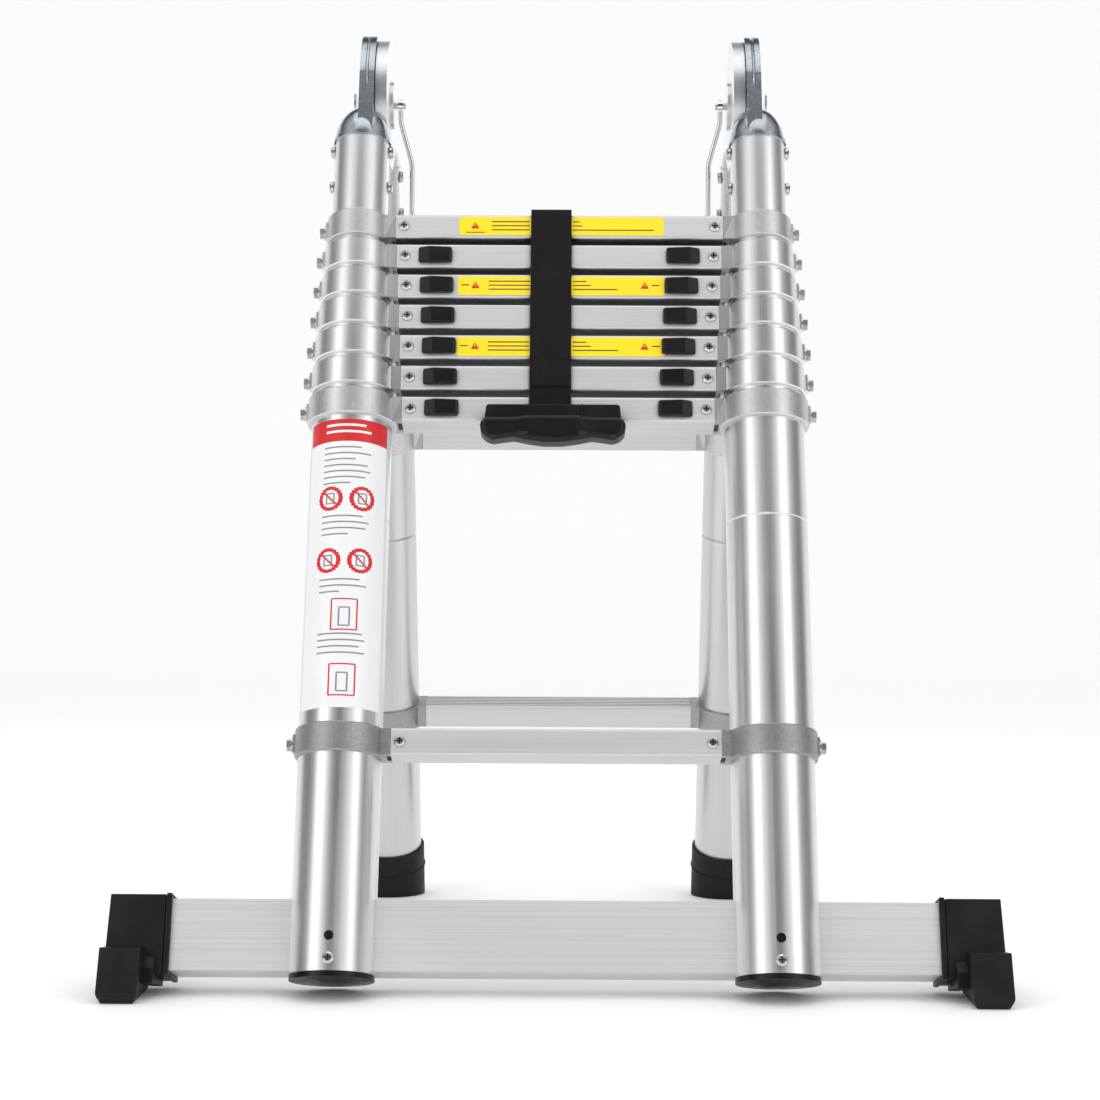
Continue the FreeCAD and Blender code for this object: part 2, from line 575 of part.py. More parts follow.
def bail_wire():
    """The U of wire that hangs from both axle tips, in the frame of the hinge axle."""
    disc = size("stile_offset") - size("rear_disc_inset")
    eye, rod = disc - size("bail_eye_gap"), disc - size("bail_rod_gap")
    drop, corner = size("bail_drop"), size("bail_corner")
    top, low = size("bail_jog_top"), size("bail_jog_low")
    route = [(-eye, -size("bail_eye_radius") + 1), (-eye, -top), (-rod, -low), (-rod, -drop),
             (rod, -drop), (rod, -low), (eye, -top), (eye, -size("bail_eye_radius") + 1)]
    points = [Vector(x, 0, z) for x, z in route]
    edges, start = [], points[0]
    for i in range(1, len(points) - 1):
        before = (points[i] - points[i - 1]).normalize()
        after = (points[i + 1] - points[i]).normalize()
        turn = before.getAngle(after)
        radius = corner if turn > 1 else 2.5 * corner
        back = radius * math.tan(turn / 2)
        first, last = points[i] - before * back, points[i] + after * back
        inward = (after - before).normalize()
        middle = points[i] + inward * (radius / math.cos(turn / 2) - radius)
        edges += [Part.LineSegment(start, first).toShape(), Part.Arc(first, middle, last).toShape()]
        start = last
    edges.append(Part.LineSegment(start, points[-1]).toShape())
    circle = Part.Wire(Part.makeCircle(size("wire_radius"), points[0], Vector(0, 0, 1)))
    item = doc.addObject("Part::Feature", "bail_wire")
    item.Shape = Part.Wire(edges).makePipeShell([circle], True, False)
    return item


def release_bail():
    eyes = []
    for side, sign in (("left", -1), ("right", 1)):
        eye = cylinder(f"bail_eye_{side}", "bail_eye_radius", "2 * wire_radius",
                       f"{sign} * bail_eye_x - wire_radius", "0", "0", ALONG_X)
        bore = cylinder(f"bail_bore_{side}", "axle_tip_radius + axle_clear", "4 * wire_radius",
                        f"{sign} * bail_eye_x - 2 * wire_radius", "0", "0", ALONG_X)
        eyes.append((eye, bore))
    blank = fuse("bail_blank", bail_wire(), *[eye for eye, _ in eyes])
    return cut("bail", blank, *[bore for _, bore in eyes])


# ---- stabiliser and feet ------------------------------------------------------------------

BAR_Y = "( bar_depth / 2 - bar_front )"
BAR_Z = "( 0 - bar_top_drop - bar_height / 2 )"


def below_floor(name, x, reach):
    """Everything under the floor, seen in the stile's own frame."""
    tool = doc.addObject("Part::Box", name)
    tool.Placement.Rotation = Rotation(Vector(1, 0, 0), 1)
    bind(tool, Length=f"2 * {reach}", Width="400", Height="100")
    floor = "( 0 - floor_drop )"
    tool.setExpression("Placement.Rotation.Angle", cell("half_angle * 1deg"))
    bind(tool, x=f"{x} - {reach}",
         y="100 * sin(half_angle * 1deg) - 200 * cos(half_angle * 1deg)",
         z=f"{floor} - 100 * cos(half_angle * 1deg) - 200 * sin(half_angle * 1deg)")
    return tool


def stabiliser_bar():
    blank = block("bar_blank", "2 * bar_half_length", "bar_depth", "bar_height", "0", BAR_Y,
                  BAR_Z)
    hollow = block("bar_hollow", "2 * bar_half_length + 2", "bar_depth - 2 * bar_wall",
                   "bar_height - 2 * bar_wall", "0", BAR_Y, BAR_Z)
    return cut("bar", blank, hollow)


def notched_stile():
    """The lowest front tube, open at the back where the stabiliser bar passes through."""
    reach = "base_stile_od"
    notch = block("bar_notch", f"2 * {reach}", f"{reach} + bar_front + bar_fit",
                  "bar_height + 2 * bar_fit", LEFT, f"( {reach} - bar_front - bar_fit ) / 2",
                  BAR_Z)
    hole = cylinder("bar_hole_cut", "bar_hole / 2", "base_stile_od", LEFT, "0",
                    "0 - bar_top_drop - bar_hole_drop", ALONG_Y)
    screw_hole = cylinder("bar_screw_hole", "screw_shank / 2 + seat_gap", "base_stile_od",
                          LEFT, "0", "0 - bar_top_drop - bar_screw_drop", ALONG_Y)
    return cut("notched_stile", stile_tube(1), notch, hole, screw_hole)


def bar_screw():
    return cross_screw("bar_screw", LEFT, "( bar_top_drop + bar_screw_drop )", "0 - base_stile_od / 2")


def end_cap():
    radius = stile_radius(1)
    flange = cylinder("end_cap_flange", f"{radius} - 0.3", "end_cap_thick", LEFT, "0",
                      "0 - base_stile_end - end_cap_thick")
    plug = cylinder("end_cap_plug", f"{bore_radius(1)} - seat_gap",
                    "base_stile_end - bar_top_drop - bar_height - 0.5", LEFT, "0",
                    "0 - base_stile_end")
    return fuse("end_cap", flange, plug)


def stabiliser_foot():
    """The plastic end of the bar: a sleeve over it and a ribbed block down to the floor."""
    wall = "2 * sleeve_wall"
    length = "( sleeve_outer_x - sleeve_inner_x )"
    sleeve = block("foot_sleeve", length, f"bar_depth + {wall}", f"bar_height + {wall}",
                   f"0 - sleeve_inner_x - {length} / 2", BAR_Y, BAR_Z)
    width = "( sleeve_outer_x - foot_block_inner_x )"
    tread = block("foot_block", width, "foot_block_depth", "foot_block_depth",
                  f"0 - foot_block_inner_x - {width} / 2",
                  f"foot_block_depth / 2 - {stile_radius(1)} - rubber_wall",
                  "0 - foot_block_top - foot_block_depth / 2")
    room = block("foot_room", "2 * ( bar_half_length - sleeve_inner_x )",
                 "bar_depth + bar_fit", "bar_height + bar_fit", "0 - sleeve_inner_x",
                 BAR_Y, BAR_Z)
    return cut("stabiliser_foot", fuse("foot_blank", sleeve, tread), room,
               below_floor("foot_floor", "0 - foot_block_inner_x", "100"))


def rubber_foot():
    """The rubber cup on a rear stile, its sole flat on the floor when the ladder stands."""
    radius = f"( {stile_radius(1)} + rubber_wall )"
    cup = cylinder("rubber_cup", radius, "90", LEFT, "0", "0 - rubber_start - 90")
    rib = doc.addObject("Part::Torus", "rubber_rib")
    bind(rib, Radius1=radius, Radius2="rubber_rib", x=LEFT, y="0",
         z="0 - rubber_start - rubber_rib_drop")
    bore = cylinder("rubber_bore", f"{stile_radius(1)} + seat_gap", "base_stile_end + 200",
                    LEFT, "0", "0 - base_stile_end")
    return cut("rubber_foot", fuse("rubber_blank", cup, rib), bore,
               below_floor("rubber_floor", LEFT, "100"))


# ---- carrying strap -----------------------------------------------------------------------

def strap():
    """Webbing looped round the top rung; its two front layers run down to the handle."""
    z = f"( 0 - {rung_drop(1)} )"
    over = "( rung_height / 2 + strap_gap + strap_thick )"
    full = "( rung_depth + 2 * strap_gap + 2 * strap_thick )"
    front_length = f"( handle_top_drop - {rung_drop(1)} + {over} )"
    front = block("strap_front", "strap_width", "strap_thick", front_length, "strap_x",
                  f"0 - {full} / 2 + strap_thick / 2", f"{z} + {over} - {front_length} / 2")
    top = block("strap_top", "strap_width", full, "strap_thick", "strap_x", "0",
                f"{z} + {over} - strap_thick / 2")
    under = "( rung_height / 2 + strap_gap + strap_thick / 2 )"
    back = block("strap_back", "strap_width", "strap_thick / 2", f"{over} + {under}",
                 "strap_x", f"{full} / 2 - strap_thick / 4", f"{z} + ( {over} - {under} ) / 2")
    turn = block("strap_turn", "strap_width", full, "strap_thick / 2", "strap_x", "0",
                 f"{z} - {under} + strap_thick / 4")
    return fuse("strap", front, top, back, turn)


def strap_grip():
    body = doc.addObject("PartDesign::Body", "grip")
    bar = body.newObject("PartDesign::AdditiveBox", "grip_bar")
    bind(bar, Length="handle_width", Width="handle_depth", Height="handle_height",
         x="strap_x + 2.7 - handle_width / 2",
         y="0 - rung_depth / 2 - strap_gap - handle_depth",
         z="0 - handle_top_drop - handle_height")
    doc.recompute()
    edges = [f"Edge{i}" for i, edge in enumerate(bar.Shape.Edges, 1) if edge.Length > 30]
    rounding = body.newObject("PartDesign::Fillet", "grip_rounding")
    rounding.Base = (bar, edges)
    bind(rounding, Radius="handle_corner")
    body.Tip = rounding
    return body


# ---- the two halves, each node with its own placement -------------------------------------

nodes = []


def node(name, items, half):
    """Put a piece, or a group of separate solids, in its half of the ladder."""
    sign = -1 if half == "front" else 1
    if half == "rear":
        turned = group(f"{name}_turned", items)
        turned.Placement.Rotation = Rotation(Vector(0, 0, 1), 180)
        items = [turned]
    item = group(name, items)
    item.Label = name
    item.Placement.Rotation = Rotation(Vector(1, 0, 0), sign)
    item.setExpression("Placement.Rotation.Angle", cell(f"{sign} * half_angle * 1deg"))
    bind(item, y=f"{sign} * axle_to_stile * cos(half_angle * 1deg)",
         z="axle_height + axle_to_stile * sin(half_angle * 1deg)")
    nodes.append(item)


def both(name, items):
    node(f"front_{name}", items, "front")
    node(f"rear_{name}", items, "rear")


collars = {rung: pair(collar(rung)) for rung in range(1, 9)}
bolts = {rung: pair(side_bolt(rung)) for rung in range(1, 9)}
screws = {rung: pair(rung_screw(rung)) for rung in range(1, 9)}
rungs = {rung: rung_extrusion(rung) for rung in range(1, 9)}

node("front_stile_1", pair(notched_stile()), "front")
node("rear_stile_1", pair(doc.getObject("stile_1")), "rear")
both("rung_8", [rungs[8]])
both("rung_8_clamps", collars[8])
both("rung_7", [rungs[7]] + collars[7])
for stage in range(2, TOP_STAGE):
    rung = TOP_STAGE + 1 - stage
    tubes = pair(stile_tube(stage))
    both(f"section_{stage}", tubes + [rungs[rung]] + collars[rung] + bolts[rung] + screws[rung])
both("stile_7", pair(stile_tube(TOP_STAGE)))
both("rung_1", [rungs[1]] + collars[1])
for rung in range(2, 8):
    left = latch(rung)
    right = mirrored(left)
    node(f"front_latch_{rung}_left", [left], "front")
    node(f"front_latch_{rung}_right", [right], "front")
    node(f"rear_latch_{rung}_left", [right], "rear")
    node(f"rear_latch_{rung}_right", [left], "rear")

base_fixings = bolts[7] + bolts[8] + screws[7] + screws[8]
node("front_base_fasteners", base_fixings + pair(bar_screw()), "front")
node("rear_base_fasteners", base_fixings, "rear")
node("front_hinge_castings", pair(front_casting()), "front")
node("rear_hinge_castings", pair(rear_casting()), "rear")
for half in ("front", "rear"):
    heads = [head for bolt in hinge_bolts(half) for head in pair(bolt)]
    node(f"{half}_top_fasteners", bolts[1] + screws[1] + heads, half)
node("hinge_axles", pair(hinge_axle()), "front")
node("stabiliser_bar", [stabiliser_bar()], "front")
node("stabiliser_feet", pair(stabiliser_foot()), "front")
node("front_end_caps", pair(end_cap()), "front")
node("rear_feet", pair(rubber_foot()), "rear")
node("carry_strap", [strap()], "front")
node("strap_handle", [strap_grip()], "front")

bail_node = group("release_bail", [release_bail()])
bail_node.Label = "release_bail"
bind(bail_node, z="axle_height")
nodes.append(bail_node)

# ---- check and write ----------------------------------------------------------------------

doc.recompute()
for item in doc.Objects:
    if "Invalid" in item.State or "Error" in item.State:
        raise RuntimeError(f"{item.Name} did not build: {item.State}")
os.makedirs("parts", exist_ok=True)
for item in nodes:
    if item.Shape.isNull() or not item.Shape.isValid():
        raise RuntimeError(f"{item.Label} has no valid shape")
    item.Shape.exportStep(f"parts/{item.Label}.step")
    print(item.Label, len(item.Shape.Solids), "solids", round(item.Shape.Volume / 1000), "cm3")
print(len(nodes), "nodes")
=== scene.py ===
# %% [markdown]
# # A double telescopic ladder
# This lesson dresses a ladder whose shape is already fixed. The frame holds every hard piece
# in its real place and size, so Blender adds what a drawing lacks: worn metal, moulded
# plastic, webbing, stickers, soft light and the small roundings that catch it.

# %% Load the fixed frame
import json
import math
import bmesh
import bpy
from mathutils import Matrix, Vector


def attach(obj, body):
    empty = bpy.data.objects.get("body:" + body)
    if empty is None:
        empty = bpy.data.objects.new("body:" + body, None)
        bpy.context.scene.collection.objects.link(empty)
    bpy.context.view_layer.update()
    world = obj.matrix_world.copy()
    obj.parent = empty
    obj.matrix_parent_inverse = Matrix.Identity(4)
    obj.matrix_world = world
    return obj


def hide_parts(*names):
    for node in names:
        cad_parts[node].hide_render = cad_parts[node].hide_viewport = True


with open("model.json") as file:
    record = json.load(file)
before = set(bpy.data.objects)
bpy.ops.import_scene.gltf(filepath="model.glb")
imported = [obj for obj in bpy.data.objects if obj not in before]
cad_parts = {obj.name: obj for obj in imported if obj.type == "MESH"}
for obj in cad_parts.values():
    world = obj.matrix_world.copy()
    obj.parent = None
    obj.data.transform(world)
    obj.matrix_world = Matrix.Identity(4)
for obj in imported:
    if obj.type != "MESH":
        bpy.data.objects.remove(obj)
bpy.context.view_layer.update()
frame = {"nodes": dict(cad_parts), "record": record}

MM = 0.001

# %% [markdown]
# ## Working along a leaning half
# Each half of the ladder leans by the same angle, so nothing on it is square to the world.
# It is far easier to model a piece upright, with X across the rungs, Z up the stile and the
# climbing face towards -Y, and to lean it once at the end. The slide joints already run
# along the stiles, so their axis gives the lean exactly, and the hinge gives the height.

# %% One upright space for each half
JOINTS = {joint["name"]: joint for joint in frame["record"]["behaviour"]["joints"]}
NODES = frame["nodes"]
HINGE = Vector(JOINTS["fold"]["pos_m"])
UP = Vector(JOINTS["front_slide_2"]["axis"])
LEAN = math.atan2(UP.y, UP.z)


def corners(node):
    return [vertex.co for vertex in NODES[node].data.vertices]


def lean(half, offset=0.0):
    """The matrix from a half's upright space to the world."""
    side = -1 if half == "front" else 1
    turn = Matrix.Rotation(side * LEAN, 4, "X")
    if half == "rear":
        turn = turn @ Matrix.Rotation(math.pi, 4, "Z")
    return Matrix.Translation(HINGE) @ turn @ Matrix.Translation((0, -offset, 0))


def upright_box(node, half, space=None):
    """Lowest and highest corner of a node in its half's upright space."""
    back = (space or SPACE[half]).inverted()
    places = [back @ place for place in corners(node)]
    return [Vector(f(p[i] for p in places) for i in range(3)) for f in (min, max)]


low, high = upright_box("front_stile_7", "front", lean("front"))
AXLE_TO_STILE = -(low.y + high.y) / 2
SPACE = {half: lean(half, AXLE_TO_STILE) for half in ("front", "rear")}
low, high = upright_box("front_stile_1", "front")
STILE_R = (high.y - low.y) / 2
STILE_X = high.x - STILE_R
print("lean", round(math.degrees(LEAN), 2), "stile at", round(STILE_X, 4), "radius",
      round(STILE_R, 4), "plane", round(AXLE_TO_STILE, 4))

# %% [markdown]
# ## Camera
# A product picture from waist height: a long lens a little over two metres away, looking
# almost level, so that the legs converge only slightly. The matrix is built from its three
# directions, because a small pitch and roll are easier to state than to aim by hand.

# %% Place the camera
FOCAL, SENSOR = 72.77, 36.0
YAW, PITCH, ROLL = (math.radians(angle) for angle in (-0.453, -0.590, 0.276))
EYE = Vector((-0.00787, -2.1104, 0.3463))

camera = bpy.data.objects.new("camera", bpy.data.cameras.new("camera"))
bpy.context.scene.collection.objects.link(camera)
camera.data.lens, camera.data.sensor_width = FOCAL, SENSOR
camera.data.clip_end = 60
sight = Vector((0, math.cos(PITCH), -math.sin(PITCH)))
over = Vector((0, math.sin(PITCH), math.cos(PITCH)))
across = Vector((1, 0, 0))
right = across * math.cos(ROLL) + over * math.sin(ROLL)
top = over * math.cos(ROLL) - across * math.sin(ROLL)
aim = Matrix((right, top, -sight)).transposed().to_4x4()
camera.matrix_world = Matrix.Rotation(-YAW, 4, "Z") @ Matrix.Translation(EYE) @ aim
bpy.context.scene.camera = camera
print("camera at", [round(v, 3) for v in camera.matrix_world.translation])

# %% [markdown]
# ## Floor and light
# Bare aluminium has hardly a colour of its own: it shows what stands around it. Large soft
# boxes on both sides give the tubes their long bright bands, and the dimmer room between
# them leaves the dark streaks that make a tube look round. The far sides of the room fall
# away again, so that the edge of a tube turns grey and stands out from a pale wall.

# %% Floor, swept up behind into a pale wall
FLOOR_WIDE, FLOOR_FRONT, FLOOR_BACK, WALL_HIGH, SWEEP = 14.0, -9.0, 4.5, 6.0, 2.0
SWEEP_STEPS = 12
profile = [(FLOOR_FRONT, 0.0)]
for step in range(SWEEP_STEPS + 1):
    angle = math.radians(90 * step / SWEEP_STEPS)
    profile.append((FLOOR_BACK + SWEEP * math.sin(angle), SWEEP * (1 - math.cos(angle))))
profile.append((FLOOR_BACK + SWEEP, WALL_HIGH))
floor_mesh = bpy.data.meshes.new("floor")
floor_mesh.from_pydata([(x, y, z) for y, z in profile for x in (-FLOOR_WIDE, FLOOR_WIDE)],
                       [], [(2 * i, 2 * i + 1, 2 * i + 3, 2 * i + 2)
                            for i in range(len(profile) - 1)])
floor_mesh.shade_smooth()
floor = bpy.data.objects.new("studio_floor", floor_mesh)
bpy.context.scene.collection.objects.link(floor)
floor_paint = bpy.data.materials.new("pale_floor")
floor_paint.use_nodes = True
paint = floor_paint.node_tree.nodes["Principled BSDF"]
paint.inputs["Base Color"].default_value = (0.97, 0.97, 0.975, 1)
paint.inputs["Roughness"].default_value = 0.7
floor.data.materials.append(floor_paint)
print("floor", 2 * FLOOR_WIDE, "m wide, swept up", FLOOR_BACK, "m behind")

# %% The room, as each kind of ray sees it
world = bpy.data.worlds.new("studio")
world.use_nodes = True
bpy.context.scene.world = world
tree = world.node_tree
plain = tree.nodes["Background"]
plain.inputs["Color"].default_value = (1, 1, 1, 1)
plain.inputs["Strength"].default_value = 1.0
mirrored = tree.nodes.new("ShaderNodeBackground")
ray = tree.nodes.new("ShaderNodeLightPath")
choose = tree.nodes.new("ShaderNodeMixShader")
heading = tree.nodes.new("ShaderNodeTexCoord")
parts = tree.nodes.new("ShaderNodeSeparateXYZ")
tree.links.new(heading.outputs["Generated"], parts.inputs["Vector"])


def join(kind, *values, **settings):
    """A world node fed with sockets or numbers, in order; gives its first output."""
    node = tree.nodes.new(kind)
    for key, value in settings.items():
        setattr(node, key, value)
    for socket, value in zip(node.inputs, values):
        if isinstance(value, bpy.types.NodeSocket):
            tree.links.new(value, socket)
        else:
            socket.default_value = value
    return node.outputs[0]


SHADE, PANEL, BEHIND, FAR_SIDE, CEILING = 0.10, 0.80, 0.12, 0.20, 0.95
sideways = join("ShaderNodeMath", parts.outputs["X"], operation="ABSOLUTE")
panel = join("ShaderNodeMapRange", sideways, 0.10, 0.52, SHADE, PANEL,
             interpolation_type="SMOOTHSTEP")
far_side = join("ShaderNodeMapRange", sideways, 0.70, 0.97, 1.0, FAR_SIDE,
                interpolation_type="SMOOTHSTEP")
panel = join("ShaderNodeMath", panel, far_side, operation="MULTIPLY")
ceiling = join("ShaderNodeMapRange", parts.outputs["Z"], 0.66, 0.88, 0.0, CEILING)
front = join("ShaderNodeMath", panel, ceiling, operation="MAXIMUM")
back = join("ShaderNodeMapRange", parts.outputs["Y"], -0.05, 0.5, 0.0, 1.0)
held = join("ShaderNodeMath", join("ShaderNodeMath", BEHIND, front, operation="SUBTRACT"),
            back, operation="MULTIPLY")
glow = join("ShaderNodeMath", held, front, operation="ADD")
for source, target in ((glow, mirrored.inputs["Color"]),
                       (ray.outputs["Is Glossy Ray"], choose.inputs["Fac"]),
                       (plain.outputs["Background"], choose.inputs[1]),
                       (mirrored.outputs["Background"], choose.inputs[2]),
                       (choose.outputs["Shader"],
                        tree.nodes["World Output"].inputs["Surface"])):
    tree.links.new(source, target)
print("the mirrored room runs from", SHADE, "to", PANEL)


# %% Soft boxes
def soft_box(name, place, target, width, height, power):
    light = bpy.data.lights.new(name, "AREA")
    light.shape = "RECTANGLE"
    light.size, light.size_y, light.energy = width, height, power
    item = bpy.data.objects.new(name, light)
    bpy.context.scene.collection.objects.link(item)
    item.location = place
    item.rotation_euler = (Vector(target) - Vector(place)).to_track_quat("-Z", "Y").to_euler()
    print(name, power, "W")


MIDDLE = (0, 0, 0.42)
soft_box("left_box", (-1.9, -1.7, 1.1), MIDDLE, 0.9, 2.2, 8)
soft_box("right_box", (1.9, -1.5, 1.2), MIDDLE, 0.8, 2.2, 7)
soft_box("top_box", (0, -0.3, 2.6), MIDDLE, 2.2, 2.2, 9)
soft_box("back_box", (0.3, 2.4, 1.3), MIDDLE, 2.4, 1.6, 5)
bpy.context.scene.view_settings.view_transform = "Standard"

# %% [markdown]
# ## Shared surface effects
# Several finishes need the same effects with other numbers: drawn lines, a cast skin, marks
# of handling, a woven face. Each effect is a node group, made once, with named inputs. It
# gives only a mask or a height, and the shader that uses it stays in the material.

# %% A helper for node groups and one for links
def new_group(name, inputs, outputs):
    """An empty shader group; inputs and outputs are lists of (name, kind, default)."""
    group = bpy.data.node_groups.new(name, "ShaderNodeTree")
    for label, kind, value in inputs:
        socket = group.interface.new_socket(label, in_out="INPUT", socket_type=kind)
        if value is not None:
            socket.default_value = value
    for label, kind in outputs:
        group.interface.new_socket(label, in_out="OUTPUT", socket_type=kind)
    enter = group.nodes.new("NodeGroupInput")
    leave = group.nodes.new("NodeGroupOutput")
    return group, enter.outputs, leave.inputs


def add(tree, kind, settings=None, **inputs):
    """A node whose inputs are plain values or the sockets that feed them."""
    node = tree.nodes.new(kind)
    for key, value in (settings or {}).items():
        setattr(node, key, value)
    for key, value in inputs.items():
        socket = node.inputs[int(key[1:]) if key[0] == "i" and key[1:].isdigit()
                             else key.replace("_", " ")]
        if isinstance(value, bpy.types.NodeSocket):
            tree.links.new(value, socket)
        else:
            socket.default_value = value
    return node


NUMBER, PLACE, COLOUR = "NodeSocketFloat", "NodeSocketVector", "NodeSocketColor"

# %% Drawn lines: noise pulled long in one direction
drawn_lines, enter, leave = new_group(
    "drawn lines", [("Place", PLACE, None), ("Pull", PLACE, (1, 1, 1))],
    [("Lines", NUMBER)])
pulled = add(drawn_lines, "ShaderNodeVectorMath", {"operation": "MULTIPLY"},
             i0=enter["Place"], i1=enter["Pull"])
noise = add(drawn_lines, "ShaderNodeTexNoise", Vector=pulled.outputs[0], Scale=1.0,
            Detail=4.0, Roughness=0.65)
drawn_lines.links.new(noise.outputs["Fac"], leave["Lines"])

# %% Cast skin: a fine grain with a few pits
cast_skin, enter, leave = new_group(
    "cast skin", [("Place", PLACE, None), ("Grain", NUMBER, 900.0), ("Pit", NUMBER, 260.0)],
    [("Height", NUMBER)])
grain = add(cast_skin, "ShaderNodeTexNoise", Vector=enter["Place"], Scale=enter["Grain"],
            Detail=3.0)
pits = add(cast_skin, "ShaderNodeTexVoronoi", Vector=enter["Place"], Scale=enter["Pit"])
dents = add(cast_skin, "ShaderNodeMapRange", Value=pits.outputs["Distance"], From_Min=0.0,
            From_Max=0.22, To_Min=0.0, To_Max=1.0)
both = add(cast_skin, "ShaderNodeMath", {"operation": "MULTIPLY"}, i0=grain.outputs["Fac"],
           i1=dents.outputs["Result"])
cast_skin.links.new(both.outputs[0], leave["Height"])

# %% Handling: cloudy smears and short scuffs
handling, enter, leave = new_group(
    "handling", [("Place", PLACE, None), ("Cloud", NUMBER, 9.0), ("Scuff", NUMBER, 60.0)],
    [("Smear", NUMBER), ("Scuffs", NUMBER)])
cloud = add(handling, "ShaderNodeTexNoise", Vector=enter["Place"], Scale=enter["Cloud"],
            Detail=3.0, Distortion=0.6)
smear = add(handling, "ShaderNodeMapRange", Value=cloud.outputs["Fac"], From_Min=0.35,
            From_Max=0.7, To_Min=0.0, To_Max=1.0)
ragged = add(handling, "ShaderNodeTexNoise", Vector=enter["Place"], Scale=enter["Scuff"],
             Detail=5.0, Distortion=2.2)
scuffs = add(handling, "ShaderNodeMapRange", Value=ragged.outputs["Fac"], From_Min=0.62,
             From_Max=0.7, To_Min=0.0, To_Max=1.0)
handling.links.new(smear.outputs["Result"], leave["Smear"])
handling.links.new(scuffs.outputs["Result"], leave["Scuffs"])

# %% Two tones: a colour that follows a mask
two_tones, enter, leave = new_group(
    "two tones", [("Mask", NUMBER, 0.5), ("First", COLOUR, (0, 0, 0, 1)),
                  ("Second", COLOUR, (1, 1, 1, 1))], [("Colour", COLOUR)])
blend = add(two_tones, "ShaderNodeMix", {"data_type": "RGBA"})
two_tones.links.new(enter["Mask"], blend.inputs["Factor"])
two_tones.links.new(enter["First"], blend.inputs[6])
two_tones.links.new(enter["Second"], blend.inputs[7])
two_tones.links.new(blend.outputs[2], leave["Colour"])

# %% Weave: ribs across a strap, crossed by finer ones
weave, enter, leave = new_group(
    "weave", [("Place", PLACE, None), ("Across", NUMBER, 900.0), ("Along", NUMBER, 620.0)],
    [("Height", NUMBER)])
parts = add(weave, "ShaderNodeSeparateXYZ", Vector=enter["Place"])
waves = []
for axis, pitch, phase in (("X", "Across", 0.0), ("Z", "Along", 0.7)):
    turned = add(weave, "ShaderNodeMath", {"operation": "MULTIPLY"}, i0=parts.outputs[axis],
                 i1=enter[pitch])
    shifted = add(weave, "ShaderNodeMath", {"operation": "ADD"}, i0=turned.outputs[0],
                  i1=phase)
    waves.append(add(weave, "ShaderNodeMath", {"operation": "SINE"}, i0=shifted.outputs[0]))
crossed = add(weave, "ShaderNodeMath", {"operation": "MULTIPLY"}, i0=waves[0].outputs[0],
              i1=waves[1].outputs[0])
raised = add(weave, "ShaderNodeMapRange", Value=crossed.outputs[0], From_Min=-1.0,
             From_Max=1.0, To_Min=0.0, To_Max=1.0)
weave.links.new(raised.outputs["Result"], leave["Height"])
print("groups:", [group.name for group in bpy.data.node_groups])

# %% [markdown]
# ## Finishes
# A finish starts with its shader and a place to read patterns from. The place is turned
# back by the lean of its half, so that lines drawn along a tube really run along the tube.

# %% Start a finish
FINISHES = {}


def start(name, colour, roughness, metallic=0.0, turn=0.0):
    """A new material, its node tree, its shader and the upright place that feeds patterns."""
    material = bpy.data.materials.new(name)
    material.use_nodes = True
    tree = material.node_tree
    shader = tree.nodes["Principled BSDF"]
    shader.inputs["Base Color"].default_value = (*colour, 1)
    shader.inputs["Roughness"].default_value = roughness
    shader.inputs["Metallic"].default_value = metallic
    place = add(tree, "ShaderNodeTexCoord").outputs["Object"]
    turned = add(tree, "ShaderNodeMapping", Vector=place, Rotation=(turn, 0, 0))
    FINISHES[name] = material
    return material, tree, shader, turned.outputs["Vector"]


def use(tree, group, **inputs):
    node = add(tree, "ShaderNodeGroup", {"node_tree": group}, **inputs)
    return node.outputs


def spread(tree, value, low, high, start=0.0, end=1.0):
    """Stretch a mask to run from low to high."""
    return add(tree, "ShaderNodeMapRange", Value=value, From_Min=start, From_Max=end,
               To_Min=low, To_Max=high).outputs["Result"]


def relief(tree, shader, height, strength, distance):
    bump = add(tree, "ShaderNodeBump", Height=height, Strength=strength, Distance=distance)
    tree.links.new(bump.outputs["Normal"], shader.inputs["Normal"])


def grey(value, blue=0.0):
    return (value * (1 - blue), value, value * (1 + blue), 1)


TURNS = {"front": LEAN, "rear": -LEAN}

# %% Drawn aluminium: tubes, rungs and the bar
def drawn_finish(name, turn, tone, dark, rough, pull, depth, metal=1.0, paint_gap_shade=False):
    """Extruded aluminium with lines along the piece; painted shade where rungs stand close."""
    material, tree, shader, place = start(name, tone[:3], rough[0], metal, turn)
    lines = use(tree, drawn_lines, Place=place, Pull=pull)["Lines"]
    marks = use(tree, handling, Place=place, Cloud=7.0, Scuff=45.0)
    colour = use(tree, two_tones, Mask=spread(tree, lines, 0.0, 1.0, 0.3, 0.72),
                 First=dark, Second=tone)["Colour"]
    if paint_gap_shade:
        # painted shade: where another rung stands within 14 mm, the colour is darkened towards
        # black
        gap_shade_probe = add(tree, "ShaderNodeAmbientOcclusion", {"samples": 8}, Distance=0.014)
        unshaded_mask = spread(tree, gap_shade_probe.outputs["AO"], 0.0, 1.0, 0.34, 0.72)
        colour = use(tree, two_tones, Mask=unshaded_mask, First=grey(0.004),
                     Second=colour)["Colour"]
    tree.links.new(colour, shader.inputs["Base Color"])
    mixed = add(tree, "ShaderNodeMath", {"operation": "MULTIPLY_ADD"}, i0=marks["Smear"],
                i1=0.35, i2=lines).outputs[0]
    tree.links.new(spread(tree, mixed, rough[0], rough[1], 0.25, 1.0),
                   shader.inputs["Roughness"])
    relief(tree, shader, lines, depth, 0.0004)
    return material


